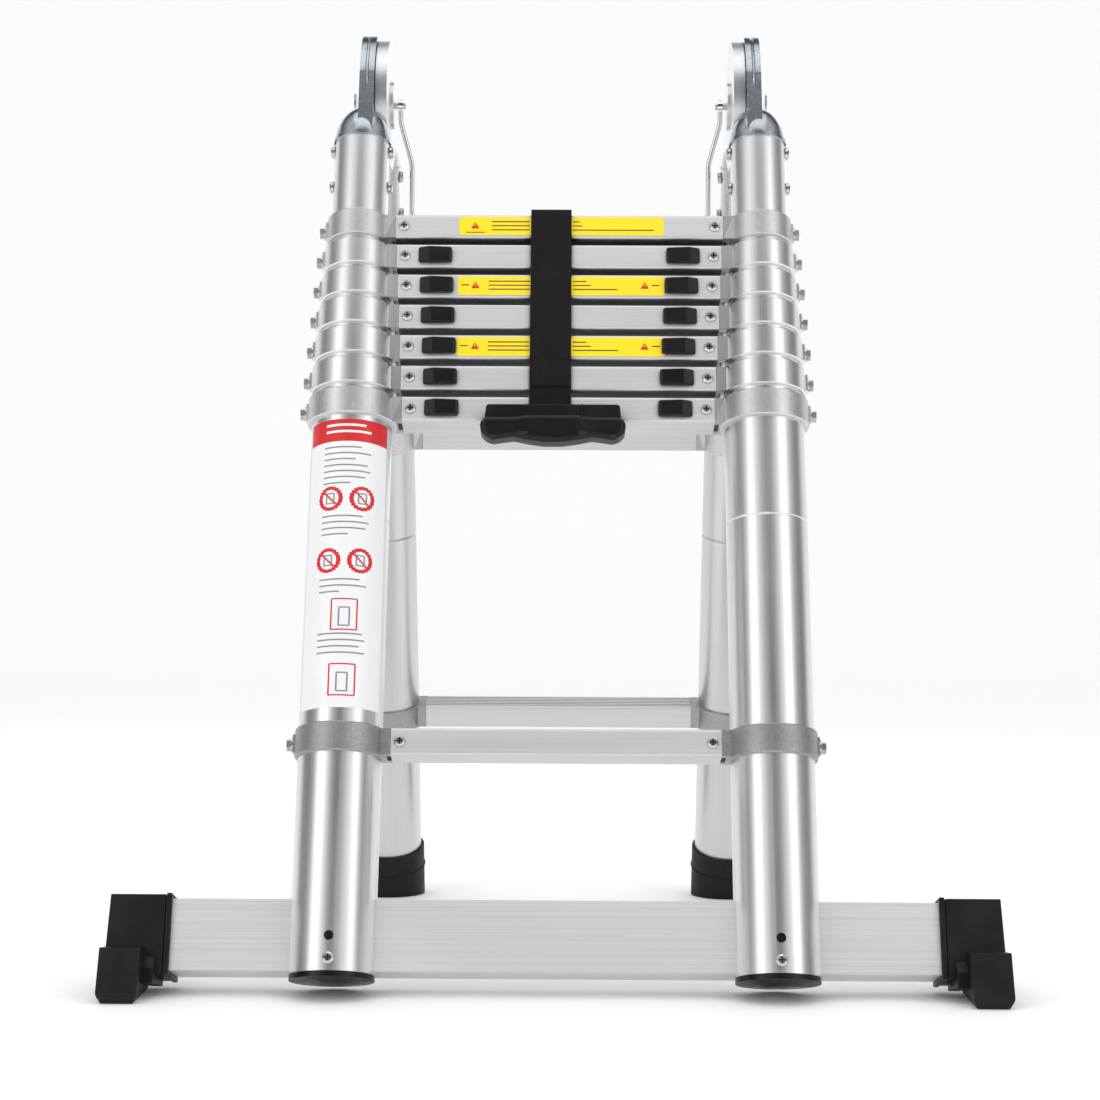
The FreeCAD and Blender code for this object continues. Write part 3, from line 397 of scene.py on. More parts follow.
for half, turn in TURNS.items():
    # painted shade: the rear tubes are the same aluminium as the front ones, given a darker
    # tone
    light = {"front": 0.82, "rear": 0.68}[half]
    drawn_finish(f"{half}_tube", turn, grey(light, 0.008), grey(light - 0.05, 0.01),
                 (0.26, 0.36), (900.0, 900.0, 2.0), 0.05)
    drawn_finish(f"{half}_rung", turn, grey(0.72, 0.012), grey(0.62, 0.015), (0.32, 0.46),
                 (1.5, 900.0, 900.0), 0.08, metal=0.45, paint_gap_shade=True)
drawn_finish("bar", LEAN, grey(0.80, 0.014), grey(0.66, 0.018), (0.30, 0.44),
             (1.2, 900.0, 900.0), 0.1, metal=0.4)

# %% Cast metal: collars, their necks, the lower clamps and the hinges
def cast_finish(name, turn, tone, dark, rough, grain, pit, depth):
    """A cast skin, rubbed bright on the high spots and dull where it was handled."""
    material, tree, shader, place = start(name, tone[:3], rough[0], 1.0, turn)
    skin = use(tree, cast_skin, Place=place, Grain=grain, Pit=pit)
    marks = use(tree, handling, Place=place, Cloud=22.0, Scuff=120.0)
    mask = add(tree, "ShaderNodeMath", {"operation": "MULTIPLY"}, i0=skin["Height"],
               i1=spread(tree, marks["Smear"], 1.35, 2.1)).outputs[0]
    colour = use(tree, two_tones, Mask=mask, First=dark, Second=tone)["Colour"]
    tree.links.new(colour, shader.inputs["Base Color"])
    tree.links.new(spread(tree, marks["Scuffs"], rough[0], rough[1]),
                   shader.inputs["Roughness"])
    relief(tree, shader, skin["Height"], depth, 0.0005)
    return material


for half, turn in TURNS.items():
    cast_finish(f"{half}_collar", turn, grey(0.70), grey(0.52), (0.42, 0.56), 700.0, 150.0,
                0.22)
    cast_finish(f"{half}_neck", turn, grey(0.52), grey(0.34), (0.45, 0.6), 900.0, 300.0, 0.4)
    cast_finish(f"{half}_clamp", turn, grey(0.44), grey(0.25), (0.42, 0.6), 800.0, 330.0,
                0.75)
cast_finish("hinge_plate", LEAN, grey(0.46, 0.08), grey(0.33, 0.10), (0.16, 0.34), 260.0,
            60.0, 0.08)
cast_finish("inner_plate", -LEAN, grey(0.74, 0.01), grey(0.58, 0.01), (0.36, 0.5), 500.0,
            90.0, 0.15)

# %% Steel: screws, rivets and the bright wire
for name, tone, rough in (("screw_steel", 0.62, 0.24), ("bright_wire", 0.86, 0.07)):
    material, tree, shader, place = start(name, grey(tone)[:3], rough, 1.0)
    marks = use(tree, handling, Place=place, Cloud=60.0, Scuff=300.0)
    tree.links.new(spread(tree, marks["Smear"], rough, rough + 0.12),
                   shader.inputs["Roughness"])
    colour = use(tree, two_tones, Mask=marks["Scuffs"], First=grey(tone, 0.01),
                 Second=grey(0.7 * tone))["Colour"]
    tree.links.new(colour, shader.inputs["Base Color"])

# %% Painted shade in the bottom of a screw's cross
material, tree, shader, place = start("painted_recess_shade", (0.01, 0.01, 0.01), 0.6)
marks = use(tree, handling, Place=place, Cloud=200.0, Scuff=500.0)
tree.links.new(spread(tree, marks["Smear"], 0.5, 0.8), shader.inputs["Roughness"])

# %% Moulded black: buttons, feet, caps, grip and rubber
def moulded(name, tone, rough, grain, depth, shine=0.3):
    """Black plastic or rubber: an even sparkle of grain, with paler rubbed patches."""
    material, tree, shader, place = start(name, grey(tone)[:3], rough[0])
    skin = use(tree, cast_skin, Place=place, Grain=grain, Pit=grain * 0.4)
    marks = use(tree, handling, Place=place, Cloud=26.0, Scuff=190.0)
    colour = use(tree, two_tones, Mask=spread(tree, marks["Smear"], 0.0, 0.7),
                 First=grey(tone, 0.02), Second=grey(2.1 * tone, 0.03))["Colour"]
    tree.links.new(colour, shader.inputs["Base Color"])
    tree.links.new(spread(tree, marks["Smear"], *rough), shader.inputs["Roughness"])
    shader.inputs["Specular IOR Level"].default_value = shine
    relief(tree, shader, skin["Height"], depth, 0.0003)
    return material


moulded("button_black", 0.004, (0.3, 0.42), 1500.0, 0.12, 0.3)
moulded("foot_black", 0.006, (0.4, 0.55), 1100.0, 0.3, 0.28)
moulded("cap_black", 0.004, (0.25, 0.38), 1500.0, 0.1, 0.3)
moulded("grip_black", 0.004, (0.3, 0.44), 1300.0, 0.16, 0.3)
moulded("cup_rubber", 0.005, (0.5, 0.66), 900.0, 0.3, 0.25)

# %% Webbing: a ribbed weave with a soft sheen
material, tree, shader, place = start("webbing", (0.006, 0.006, 0.007), 0.82, 0.0, LEAN)
rib = use(tree, weave, Place=place, Across=4200.0, Along=3000.0)["Height"]
marks = use(tree, handling, Place=place, Cloud=40.0, Scuff=160.0)
colour = use(tree, two_tones, Mask=rib, First=grey(0.002), Second=grey(0.010, 0.03))
tree.links.new(colour["Colour"], shader.inputs["Base Color"])
tree.links.new(spread(tree, marks["Smear"], 0.7, 0.92), shader.inputs["Roughness"])
shader.inputs["Sheen Weight"].default_value = 0.06
shader.inputs["Specular IOR Level"].default_value = 0.2
relief(tree, shader, rib, 0.8, 0.0005)

# %% Sticker films and their inks
def film(name, colour, rough, second):
    """Printed film: slightly uneven ink under a smooth skin."""
    material, tree, shader, place = start(name, colour, rough, 0.0, LEAN)
    marks = use(tree, handling, Place=place, Cloud=30.0, Scuff=220.0)
    tint = use(tree, two_tones, Mask=spread(tree, marks["Smear"], 0.0, 0.5),
               First=(*colour, 1), Second=(*second, 1))["Colour"]
    tree.links.new(tint, shader.inputs["Base Color"])
    tree.links.new(spread(tree, marks["Smear"], rough, rough + 0.12),
                   shader.inputs["Roughness"])


film("yellow_film", (0.93, 0.70, 0.0), 0.4, (0.90, 0.66, 0.0))
film("white_film", (0.80, 0.80, 0.81), 0.34, (0.74, 0.74, 0.76))
film("red_ink", (0.62, 0.010, 0.012), 0.4, (0.55, 0.008, 0.01))
film("dark_ink", (0.03, 0.03, 0.035), 0.45, (0.05, 0.05, 0.05))
film("grey_ink", (0.22, 0.22, 0.24), 0.45, (0.28, 0.28, 0.30))
print(len(FINISHES), "finishes")

# %% [markdown]
# ## Dressing the frame's own pieces
# Tubes, rungs, castings and screws already have their true shape, so they stay, and only
# get their finish. Some nodes hold several separate solids: two tubes, a rung and its
# castings. Each solid is found by following shared corners, and its size says what it is.

# %% Find the separate solids of a node
def solids(node):
    """Lists of polygon numbers, one list for each separate solid."""
    mesh = NODES[node].data
    leader = {}

    def head(key):
        while leader[key] != key:
            leader[key] = leader[leader[key]]
            key = leader[key]
        return key

    keys = [tuple(round(c * 1e5) for c in vertex.co) for vertex in mesh.vertices]
    for key in keys:
        leader.setdefault(key, key)
    for polygon in mesh.polygons:
        first = head(keys[polygon.vertices[0]])
        for number in polygon.vertices[1:]:
            leader[head(keys[number])] = first
    found = {}
    for polygon in mesh.polygons:
        found.setdefault(head(keys[polygon.vertices[0]]), []).append(polygon.index)
    return list(found.values())


RECESS_REACH, RECESS_DEEP, RECESS_SINK = 3.0 * MM, 1.5 * MM, 0.05 * MM
TUBE_TALL, RUNG_WIDE, COLLAR_WIDE, SCREW_HEAD = 100 * MM, 150 * MM, 40 * MM, 10 * MM
NECK_REACH = 18.6 * MM      # spigot inside the rung, then the neck up to the ring


def darken_recess(mesh, polygons, back, places, recess):
    """Give the sunk faces of a screw head the painted recess shade; the rest stays steel."""
    front = min(p.y for p in places)
    middle_x = (min(p.x for p in places) + max(p.x for p in places)) / 2
    middle_z = (min(p.z for p in places) + max(p.z for p in places)) / 2
    steel = recess - 1
    for p in polygons:
        centre = back @ mesh.polygons[p].center
        depth = centre.y - front
        off = math.hypot(centre.x - middle_x, centre.z - middle_z)
        sunk = RECESS_SINK < depth < RECESS_DEEP and off < RECESS_REACH
        mesh.polygons[p].material_index = recess if sunk else steel


def dress(node, half):
    """Give each solid of a node the finish that its upright size calls for."""
    mesh = NODES[node].data
    back = SPACE[half].inverted()
    mesh.materials.clear()
    kinds = {"tube": f"{half}_tube", "rung": f"{half}_rung", "collar": f"{half}_collar",
             "neck": f"{half}_neck", "screw": "screw_steel", "recess": "painted_recess_shade"}
    names = list(kinds)
    for name in names:
        mesh.materials.append(FINISHES[kinds[name]])
    count = dict.fromkeys(names, 0)
    for polygons in solids(node):
        places = [back @ mesh.vertices[i].co for p in polygons
                  for i in mesh.polygons[p].vertices]
        wide, deep, tall = (max(p[i] for p in places) - min(p[i] for p in places)
                            for i in range(3))
        kind = ("tube" if tall > TUBE_TALL else "rung" if wide > RUNG_WIDE
                else "collar" if wide > COLLAR_WIDE else "screw")
        count[kind] += 1
        reach = min(abs(p.x) for p in places)
        if kind == "screw" and max(deep, tall) < SCREW_HEAD:
            darken_recess(mesh, polygons, back, places, names.index("recess"))
            continue
        for p in polygons:
            centre = back @ mesh.polygons[p].center
            is_neck = kind == "collar" and abs(centre.x) < reach + NECK_REACH
            mesh.polygons[p].material_index = names.index("neck" if is_neck else kind)
    return count


for half in ("front", "rear"):
    for node in [f"{half}_section_{n}" for n in range(2, 7)] + [f"{half}_rung_1",
                                                               f"{half}_rung_7"]:
        print(node, dress(node, half))

# %% Whole nodes of one finish
def coat(node, finish):
    mesh = NODES[node].data
    mesh.materials.clear()
    mesh.materials.append(FINISHES[finish])


for half in ("front", "rear"):
    for node, finish in (("stile_1", f"{half}_tube"), ("stile_7", f"{half}_tube"),
                         ("rung_8", f"{half}_rung"), ("rung_8_clamps", f"{half}_clamp")):
        coat(f"{half}_{node}", finish)
    dress(f"{half}_base_fasteners", half)
    dress(f"{half}_top_fasteners", half)
coat("front_hinge_castings", "hinge_plate")
coat("rear_hinge_castings", "inner_plate")
coat("hinge_axles", "screw_steel")
coat("release_bail", "bright_wire")
coat("stabiliser_bar", "bar")
coat("front_end_caps", "cap_black")
coat("rear_feet", "cup_rubber")
print("every CAD node that stays has its finish")

# %% [markdown]
# ## Making a piece in the upright space
# A detailed piece is drawn in millimetres in its half's upright space, then leaned into
# place. A bevel modifier rounds its edges, because moulded and pressed parts never have
# knife edges, and weighted normals keep the flats looking flat.

# %% Helpers for new pieces
def lean_in(mesh, half):
    mesh.transform(Matrix.Scale(MM, 4))
    mesh.transform(SPACE[half])


BEVEL_ANGLE = math.radians(28)


def piece(name, shape, half, body, finishes, edge=0.0, steps=3):
    """Turn a bmesh in upright millimetres into a finished piece that rides on a body."""
    mesh = bpy.data.meshes.new(name)
    bmesh.ops.recalc_face_normals(shape, faces=shape.faces)
    shape.to_mesh(mesh)
    shape.free()
    lean_in(mesh, half)
    item = bpy.data.objects.new(name, mesh)
    bpy.context.scene.collection.objects.link(item)
    for finish in finishes:
        mesh.materials.append(FINISHES[finish])
    mesh.shade_smooth()
    if edge:
        bevel = item.modifiers.new("rounding", "BEVEL")
        bevel.width, bevel.segments, bevel.limit_method = edge * MM, steps, "ANGLE"
        bevel.angle_limit = BEVEL_ANGLE
    item.modifiers.new("flats", "WEIGHTED_NORMAL").keep_sharp = True
    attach(item, body)
    return item


def prism(shape, outline, axis, start, end, finish=0):
    """Add a closed prism: a 2-D outline swept along one axis from start to end."""
    def place(u, v, along):
        point = [u, v]
        point.insert(axis, along)
        return shape.verts.new(point)

    ends = [[place(u, v, along) for u, v in outline] for along in (start, end)]
    faces = [shape.faces.new(ends[0]), shape.faces.new(ends[1][::-1])]
    for i in range(len(outline)):
        j = (i + 1) % len(outline)
        faces.append(shape.faces.new((ends[0][i], ends[0][j], ends[1][j], ends[1][i])))
    for face in faces:
        face.material_index = finish
    return shape


def upright_mm(node, half):
    low, high = upright_box(node, half)
    return [Vector(corner) / MM for corner in (low, high)]


# %% [markdown]
# ## Latch buttons
# Each rung that slides has two black slide buttons. A thumb pushes them inwards, so the
# outer third is a slope to press on, and a ridge stands between the slope and the flat.
# The place of each button comes from the part of its latch that stands proud of the rung.

# %% Build the twenty-four buttons
rung_low, rung_high = upright_mm("front_rung_8", "front")
RUNG_FACE = rung_low.y
PROUD = 0.05                # what stands at least this far out of the face is the button
RIDGE, SLOPE_LOW, INNER_FALL = 9.4, 2.4, 0.7
RIDGE_HALF, INNER_ROUND, NARROWING, NARROW_RUN = 0.6, 2.0, 0.07, 12.0


def button(node, half):
    back = SPACE[half].inverted()
    proud = [(back @ place) / MM for place in corners(node)]
    proud = [p for p in proud if p.y < RUNG_FACE - PROUD]
    low, high = ([f(p[i] for p in proud) for i in range(3)] for f in (min, max))
    outer, inner = (low[0], high[0]) if high[0] < 0 else (high[0], low[0])
    way = 1 if inner > outer else -1
    face, front = high[1], low[1]
    ridge = outer + way * RIDGE
    outline = [(outer, face), (outer, face - SLOPE_LOW),
               (ridge - way * RIDGE_HALF, front + 0.2), (ridge + way * RIDGE_HALF, front),
               (inner - way * INNER_ROUND, front + INNER_FALL),
               (inner, front + 3 * INNER_FALL), (inner, face)]
    shape = bmesh.new()
    prism(shape, outline, 2, low[2], high[2])
    for vertex in shape.verts:
        away = min(1.0, abs(vertex.co.x - ridge) / NARROW_RUN)
        middle = (low[2] + high[2]) / 2
        vertex.co.z = middle + (vertex.co.z - middle) * (1 - NARROWING * away)
    item = piece(f"{node}_button", shape, half, node, ["button_black"],
                 edge=1.3, steps=3)
    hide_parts(node)
    return item


buttons = [button(f"{half}_latch_{rung}_{side}", half) for half in ("front", "rear")
           for rung in range(2, 8) for side in ("left", "right")]
print(len(buttons), "buttons")

# %% [markdown]
# ## Stabiliser feet
# The ends of the bar wear a moulded sleeve with a lip towards the ladder, and a block that
# runs forward and down to a ribbed sole. The sole is cut level with the floor while the bar
# leans with the stile, so its corners are worked out from the floor's height.

# %% Build the two feet
FLOOR_DROP = (HINGE.z + AXLE_TO_STILE * math.sin(LEAN)) / MM


def floor_z(y):
    """Upright height of the floor at a depth y, in millimetres."""
    return -(FLOOR_DROP - y * math.sin(LEAN)) / math.cos(LEAN)


bar_low, bar_high = upright_mm("stabiliser_bar", "front")
foot_low, foot_high = upright_mm("stabiliser_feet", "front")
WALL, LIP, LIP_WIDE, BLOCK_WIDE, TAPER = 3.0, 1.0, 4.5, 33.0, 2.4
SOLE_IN, SOLE_CHAMFER, SHELF, GUSSET = 3.5, 7.0, 43.0, 9.0
SLEEVE_IN, SLEEVE_OUT = bar_high.x - 31.0, foot_high.x


def stabiliser_foot(side):
    way = -1 if side == "left" else 1
    shape = bmesh.new()
    top, bottom = bar_high.z + WALL, bar_low.z - WALL
    front, behind = bar_low.y - WALL, bar_high.y + WALL
    sleeve = [(front, top), (behind, top), (behind, bottom), (front, bottom)]
    prism(shape, sleeve, 0, SLEEVE_IN + 5, SLEEVE_OUT)
    for vertex in shape.verts:
        if vertex.co.x > SLEEVE_OUT - 1 and vertex.co.z > bottom + 1:
            vertex.co.x -= TAPER
    lip = [(front - LIP, top + LIP), (behind + LIP, top + LIP), (behind + LIP, bottom - LIP),
           (front - LIP, bottom - LIP)]
    prism(shape, lip, 0, SLEEVE_IN, SLEEVE_IN + LIP_WIDE)
    ahead, rear = foot_low.y, foot_high.y - 6
    block = [(front + 1, foot_high.z - SHELF), (ahead + 4.5, foot_high.z - SHELF - 4),
             (ahead, floor_z(ahead) + 11), (ahead + 0.6, floor_z(ahead) + 8.4),
             (ahead + 2.2, floor_z(ahead) + 8.2), (ahead + 2.8, floor_z(ahead) + 5.2),
             (ahead + 4.4, floor_z(ahead) + 5.0), (ahead + 6, floor_z(ahead + 6)),
             (rear - 4, floor_z(rear - 4)), (rear, floor_z(rear) + 6),
             (rear, bottom + 4), (front + 1, bottom + 4)]
    known = len(shape.verts)
    prism(shape, block, 0, foot_high.x - BLOCK_WIDE, foot_high.x)
    shape.verts.ensure_lookup_table()
    for vertex in shape.verts[known:]:
        above = vertex.co.z - floor_z(vertex.co.y)
        if above < SOLE_CHAMFER:
            pull = SOLE_IN * (1 - above / SOLE_CHAMFER)
            vertex.co.x += pull if vertex.co.x < foot_high.x - 1 else -pull
    gusset = [(front + 2, bottom + 16), (front + 2, bottom + 1), (behind - 6, bottom + 1),
              (behind - 6, bottom - 5), (front - 6, bottom - 9), (front - 6, bottom + 4)]
    prism(shape, gusset, 0, foot_high.x - BLOCK_WIDE - GUSSET, foot_high.x - BLOCK_WIDE + 1)
    for vertex in shape.verts:
        vertex.co.x *= way
    return piece(f"stabiliser_foot_{side}", shape, "front", "front_base", ["foot_black"],
                 edge=1.6)


feet = [stabiliser_foot(side) for side in ("left", "right")]
for foot in feet:
    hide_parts("stabiliser_feet")
print(len(feet), "feet, sleeve", round(SLEEVE_OUT - SLEEVE_IN, 1), "mm long")

# %% [markdown]
# ## Carrying strap
# One length of webbing starts at the handle, runs up the front, goes under the top rung and
# over it, and comes down in front again, where its end is sewn to the layer beneath. It is
# modelled as a ribbon along that route, with the real thickness, so that the sewn step and
# the turned edges are there to see.

# %% The route of the webbing, in the plane across the rungs
strap_low, strap_high = upright_mm("carry_strap", "front")
rung1_low, rung1_high = upright_mm("front_rung_1", "front")
grip_low, grip_high = upright_mm("strap_handle", "front")
WEB_THICK, SEWN_END, GAP, BEND = 1.5, -313.0, 0.9, 2.0
STRAP_RISE, RUNG_TALL, INTO_GRIP = 4.1, 23.4, 3.0
RUNG1_TOP = strap_high.z - STRAP_RISE
RUNG1_LOW = RUNG1_TOP - RUNG_TALL
inner_y = RUNG_FACE - GAP - WEB_THICK / 2 - 0.1
outer_y = strap_low.y + WEB_THICK / 2
back_y = strap_high.y - WEB_THICK / 2
top_z = strap_high.z - WEB_THICK / 2
low_z = RUNG1_LOW - GAP - WEB_THICK / 2


def corner_arc(centre, radius, first, last, steps=5):
    """Points of an arc in the Y-Z plane, angles in degrees from +Y towards +Z."""
    for step in range(steps + 1):
        angle = math.radians(first + (last - first) * step / steps)
        yield (centre[0] + radius * math.cos(angle), centre[1] + radius * math.sin(angle))


route = [(outer_y, SEWN_END + 40 * i) for i in range(4)]
route += list(corner_arc((outer_y + BEND, top_z - BEND), BEND, 180, 90))
route += [((outer_y + back_y) / 2, top_z)]
route += list(corner_arc((back_y - BEND, top_z - BEND), BEND, 90, 0))
route += [(back_y, (top_z + low_z) / 2)]
route += list(corner_arc((back_y - BEND, low_z + BEND), BEND, 0, -90))
route += [(0.0, low_z)]
route += list(corner_arc((inner_y + BEND, low_z - BEND), BEND, 90, 180))
steps = 9
start_z, end_z = low_z - BEND, grip_high.z - INTO_GRIP
route += [(inner_y, start_z + (end_z - start_z) * i / steps) for i in range(1, steps + 1)]

# %% Sweep the ribbon
def ribbon(route, x_low, x_high, thick):
    """A closed flat band along a route, with slightly thinner woven edges."""
    shape = bmesh.new()
    inset, edge = 1.3, 0.25
    upper = [(x_low, edge), (x_low + inset, 0.5), (x_high - inset, 0.5), (x_high, edge)]
    section = upper + [(x, -t) for x, t in upper[::-1]]
    rings = []
    for i, (y, z) in enumerate(route):
        before, after = route[max(i - 1, 0)], route[min(i + 1, len(route) - 1)]
        along = Vector((after[0] - before[0], after[1] - before[1])).normalized()
        side = Vector((-along.y, along.x))
        rings.append([shape.verts.new((x, y + side.x * t * thick, z + side.y * t * thick))
                      for x, t in section])
    for a, b in zip(rings, rings[1:]):
        for i in range(len(section)):
            j = (i + 1) % len(section)
            shape.faces.new((a[i], a[j], b[j], b[i]))
    shape.faces.new(rings[0])
    shape.faces.new(rings[-1][::-1])
    return shape


strap = piece("carry_strap_webbing", ribbon(route, strap_low.x, strap_high.x, WEB_THICK),
              "front", "front_section_7", ["webbing"])
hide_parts("carry_strap")

# %% Stitches where the two layers are sewn
thread = bmesh.new()
STITCH, STITCH_GAP, STITCH_INSET, STITCH_ROWS = 2.2, 3.1, 3.0, (3.0, 26.0)
face = outer_y - WEB_THICK / 2
for row in (SEWN_END + up for up in STITCH_ROWS):
    x = strap_low.x + STITCH_INSET
    while x < strap_high.x - STITCH_INSET - 1:
        prism(thread, [(face - 0.25, row), (face + 0.3, row), (face + 0.3, row + 0.7),
                       (face - 0.25, row + 0.7)], 0, x, x + STITCH)
        x += STITCH_GAP
stitches = piece("strap_stitches", thread, "front", "front_section_7", ["webbing"],
                 edge=0.15, steps=1)
print(len(stitches.data.polygons) // 6, "stitches")

# %% [markdown]
# ## Grip
# The strap ends in a moulded grip. Its upper plate holds the webbing, and below it a
# thicker bar swells at the middle and at both ends, so the fingers find their place. The
# front outline is a polygon; the thickness is added in two steps and well rounded.

# %% Build the grip
MID = (grip_low.x + grip_high.x) / 2
HALF = (grip_high.x - grip_low.x) / 2
grip_top, grip_low_z = grip_high.z, grip_low.z
GRIP_BACK, GRIP_FRONT = grip_high.y, grip_low.y


def both_sides(points):
    """Complete an outline that is the same left and right of the middle."""
    return [(MID + x, z) for x, z in points] + [(MID - x, z) for x, z in points[::-1]]


upper = both_sides([(HALF - 5, grip_top - 1.5), (HALF - 4, grip_top - 13),
                    (HALF - 8, grip_top - 16)])
upper = [(MID - HALF + 5 + 2, grip_top), (MID + HALF - 5 - 2, grip_top)] + upper
lower = both_sides([(22, grip_top - 10.5), (34, grip_top - 12.5), (HALF - 6, grip_top - 12.5),
                    (HALF - 1, grip_top - 14.5), (HALF, grip_top - 20),
                    (HALF - 1, grip_top - 27), (HALF - 5, grip_top - 32.5),
                    (HALF - 12, grip_top - 34), (HALF - 22, grip_top - 32.4),
                    (HALF - 30, grip_top - 31.4), (22, grip_top - 34), (8, grip_low_z)])
shape = bmesh.new()
prism(shape, upper, 1, GRIP_FRONT + 5, GRIP_BACK - 2)
grip_plate = piece("grip_plate", shape, "front", "front_section_7", ["grip_black"],
                   edge=1.6)
shape = bmesh.new()
prism(shape, lower, 1, GRIP_FRONT, GRIP_BACK)
grip_bar = piece("grip_bar", shape, "front", "front_section_7", ["grip_black"],
                 edge=5.0, steps=5)
# painted shade: flat dark patches stand for the grip's slots and the groove of its seam
shape = bmesh.new()
for x, z, wide, tall in ((MID - 30, grip_top - 30, 8, 2.4), (MID + 22, grip_top - 30, 8, 2.4),
                         (MID + HALF - 14, grip_top - 32.5, 5, 1.8),
                         (MID - HALF + 9, grip_top - 32.5, 5, 1.8)):
    prism(shape, [(x, z), (x + wide, z), (x + wide, z + tall), (x, z + tall)], 1,
          GRIP_FRONT - 0.02, GRIP_FRONT + 2)
prism(shape, [(MID + 24.6, grip_top - 30), (MID + 25.1, grip_top - 30),
              (MID + 25.1, grip_top - 1), (MID + 24.6, grip_top - 1)], 1, GRIP_FRONT - 0.02,
      GRIP_FRONT + 6)
grip_slot_shade = piece("grip_painted_slot_shade", shape, "front", "front_section_7", ["painted_recess_shade"])
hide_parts("strap_handle")
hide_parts("strap_handle")
print("grip", round(2 * HALF, 1), "mm wide")

# %% [markdown]
# ## Stickers
# Rungs and stile carry printed films. Their words belong to whoever made the ladder, so
# these are blank stand-ins: the same film, the same layout, with plain bars for lines of
# print and a plain triangle or ring for a sign. Film and ink are thin plates that follow
# the surface under them.

# %% Flat stickers on three rungs
FILM, INK, BEDDED = 0.18, 0.06, 0.02
RUNG_STEP, FACE_MIDDLE, STICKER_TALL, STICKER_CUT = 29.6, 11.7, 18.2, 1.6
STICKER_X = (-90.5, 94.3)
SIGN, LINE = 7.6, 1.05


def flat_ink(shape, x, z, wide, tall, face, finish):
    prism(shape, [(x, z), (x + wide, z), (x + wide, z + tall), (x, z + tall)], 1,
          face - INK, face + BEDDED, finish)


def triangle(shape, x, z, size, face, finish):
    prism(shape, [(x - size / 2, z), (x + size / 2, z), (x, z + 0.88 * size)], 1, face - INK,
          face + BEDDED, finish)


def rung_sticker(rung, body, signs, rows):
    """A yellow film on the middle of a rung's face; signs and rows are places on it."""
    z = RUNG1_TOP - FACE_MIDDLE - (rung - 1) * RUNG_STEP
    shape = bmesh.new()
    (x0, x1), r = STICKER_X, STICKER_CUT
    low, high = z - STICKER_TALL / 2, z + STICKER_TALL / 2
    outline = [(x0 + r, low), (x1 - r, low), (x1, low + r), (x1, high - r), (x1 - r, high),
               (x0 + r, high), (x0, high - r), (x0, low + r)]
    prism(shape, outline, 1, RUNG_FACE - FILM, RUNG_FACE + 0.05, 0)
    face = RUNG_FACE - FILM
    for x in signs:
        triangle(shape, x, z - 2.6, SIGN, face, 1)
        flat_ink(shape, x - 0.35, z - 0.4, 0.7, 2.6, face - INK, 0)
    for x, wide, row, finish in rows:
        flat_ink(shape, x, z + row, wide, LINE, face, finish)
    return piece(f"rung_{rung}_sticker", shape, "front", body, ["yellow_film", "red_ink",
                 "dark_ink"])


lines_1 = [(-84.5, 17, -6.8, 1), (-61, 34, 3.9, 2), (-61, 34, -0.2, 2), (-61, 34, -4.3, 2),
           (12.5, 6, 3.9, 2), (12.5, 8, -0.2, 2), (12.5, 73, -4.3, 2)]
lines_2 = [(-87.5, 7.0, 0.2, 2), (-63, 37, 3.9, 2), (-63, 37, 0.0, 2), (-63, 37, -3.9, 2),
           (12.5, 12, 3.9, 2), (12.5, 16, 0.0, 2), (12.5, 40, -3.9, 2), (83.0, 7.0, 0.2, 2)]
stickers = [rung_sticker(1, "front_section_7", [-76.0], lines_1),
            rung_sticker(3, "front_section_5", [-74.8, 76.8], lines_2),
            rung_sticker(5, "front_section_3", [-74.3, 76.2], lines_2)]
print(len(stickers), "rung stickers")

# %% The tall sticker wrapped round the left base tube
LABEL_TOP, LABEL_LOW, HEADER = -351.0, -609.0, -371.6
LABEL_HALF = 66.0       # degrees either side of the front


def bent(shape, angle_0, angle_1, z0, z1, inner, outer, finish, pieces=None):
    """A closed plate that follows the tube, between two angles and two heights."""
    pieces = pieces or max(2, int(abs(angle_1 - angle_0) / 4) + 1)
    rings = []
    for step in range(pieces + 1):
        angle = math.radians(angle_0 + (angle_1 - angle_0) * step / pieces)
        ring = []
        for radius, z in ((inner, z0), (outer, z0), (outer, z1), (inner, z1)):
            ring.append(shape.verts.new((-STILE_X / MM + radius * math.sin(angle),
                                         -radius * math.cos(angle), z)))
        rings.append(ring)
    made = [shape.faces.new(rings[0]), shape.faces.new(rings[-1][::-1])]
    for a, b in zip(rings, rings[1:]):
        for i in range(4):
            j = (i + 1) % 4
            made.append(shape.faces.new((a[i], b[i], b[j], a[j])))
    for plate_face in made:
        plate_face.material_index = finish


R = STILE_R / MM
FILM_R, INK_R = R + FILM, R + FILM + INK
shape = bmesh.new()
bent(shape, -LABEL_HALF, LABEL_HALF, LABEL_LOW, HEADER, R - 0.05, FILM_R, 0)
bent(shape, -LABEL_HALF, LABEL_HALF, HEADER, LABEL_TOP, R - 0.05, FILM_R, 1)


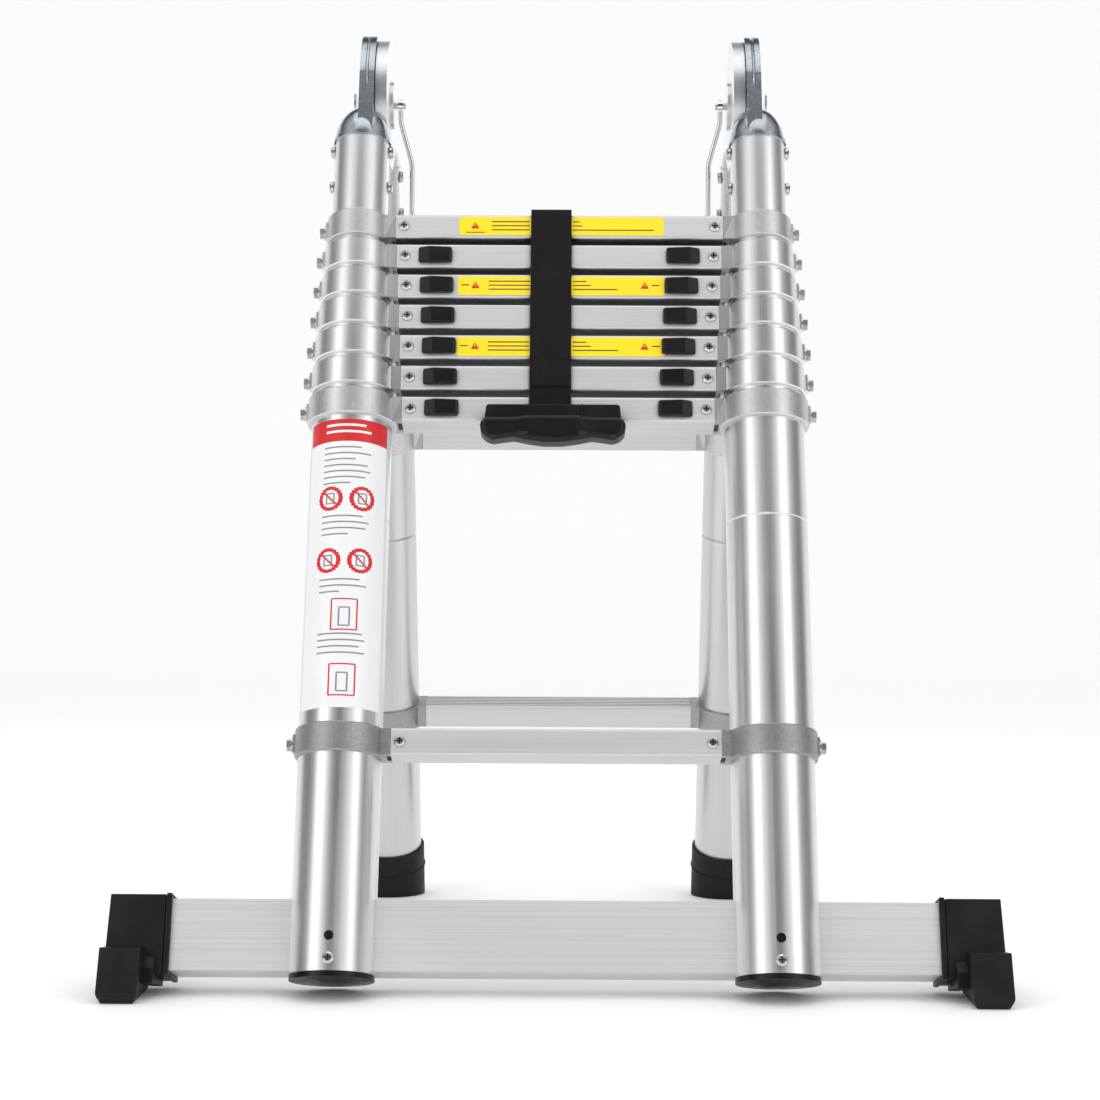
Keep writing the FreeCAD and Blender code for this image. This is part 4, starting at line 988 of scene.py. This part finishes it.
def ink_row(z, first, last, finish, tall=1.3):
    bent(shape, first, last, z - tall / 2, z + tall / 2, FILM_R - BEDDED, INK_R, finish)


def ink_ring(middle, z, size, finish, sides=20):
    """A ring sign: short bent bars round a circle, and one slanted bar across it."""
    for i in range(sides):
        turn = 2 * math.pi * i / sides
        angle = middle + math.degrees(size * math.cos(turn) / R)
        width = math.degrees(size * 0.2 / R)
        high = z + size * math.sin(turn)
        bent(shape, angle - width, angle + width, high - 0.16 * size, high + 0.16 * size,
             FILM_R - BEDDED, INK_R, finish, 1)
    for i in range(-4, 5):
        angle = middle + math.degrees(0.16 * i * size / R)
        high = z - 0.16 * i * size
        width = math.degrees(size * 0.1 / R)
        bent(shape, angle - width, angle + width, high - 0.1 * size, high + 0.1 * size,
             FILM_R - BEDDED, INK_R + 0.01, finish, 1)


def ink_frame(middle, z, wide, tall, finish):
    edge = math.degrees(0.7 / R)
    spread_to = math.degrees(wide / 2 / R)
    for side in (-1, 1):
        at = middle + side * spread_to
        bent(shape, at - edge, at + edge, z - tall / 2, z + tall / 2, FILM_R - BEDDED, INK_R,
             finish, 1)
        ink_row(z + side * tall / 2, middle - spread_to, middle + spread_to, finish, 1.2)


for z, last, finish in ((-356.5, 26, 0), (-362.5, 34, 0)):
    ink_row(z, -32, last, finish, 2.2)
for z, last in ((-377, 20), (-382.5, 35), (-388, 12), (-393.5, 30), (-399, 34), (-404.5, 27),
                (-410, 6), (-440, 25), (-445.5, 34), (-451, 30), (-456.5, 5), (-497, 24),
                (-502.5, 34), (-508, -4), (-545, 30), (-550.5, 34), (-556, 26),
                (-561.5, 34)):
    ink_row(z, -34, last, 3)
for z in (-424, -480):
    for middle in (-22, 24):
        ink_ring(middle, z, 9.6, 2)
        ink_frame(middle, z, 7.0, 9.0, 3)
for z in (-528, -585):
    ink_frame(4, z, 22, 27, 2)
    ink_frame(4, z - 2, 9, 16, 3)
piece("stile_sticker", shape, "front", "front_base",
      ["white_film", "red_ink", "red_ink", "grey_ink"])
print("tall sticker from", LABEL_LOW, "to", LABEL_TOP, "mm below the axle")
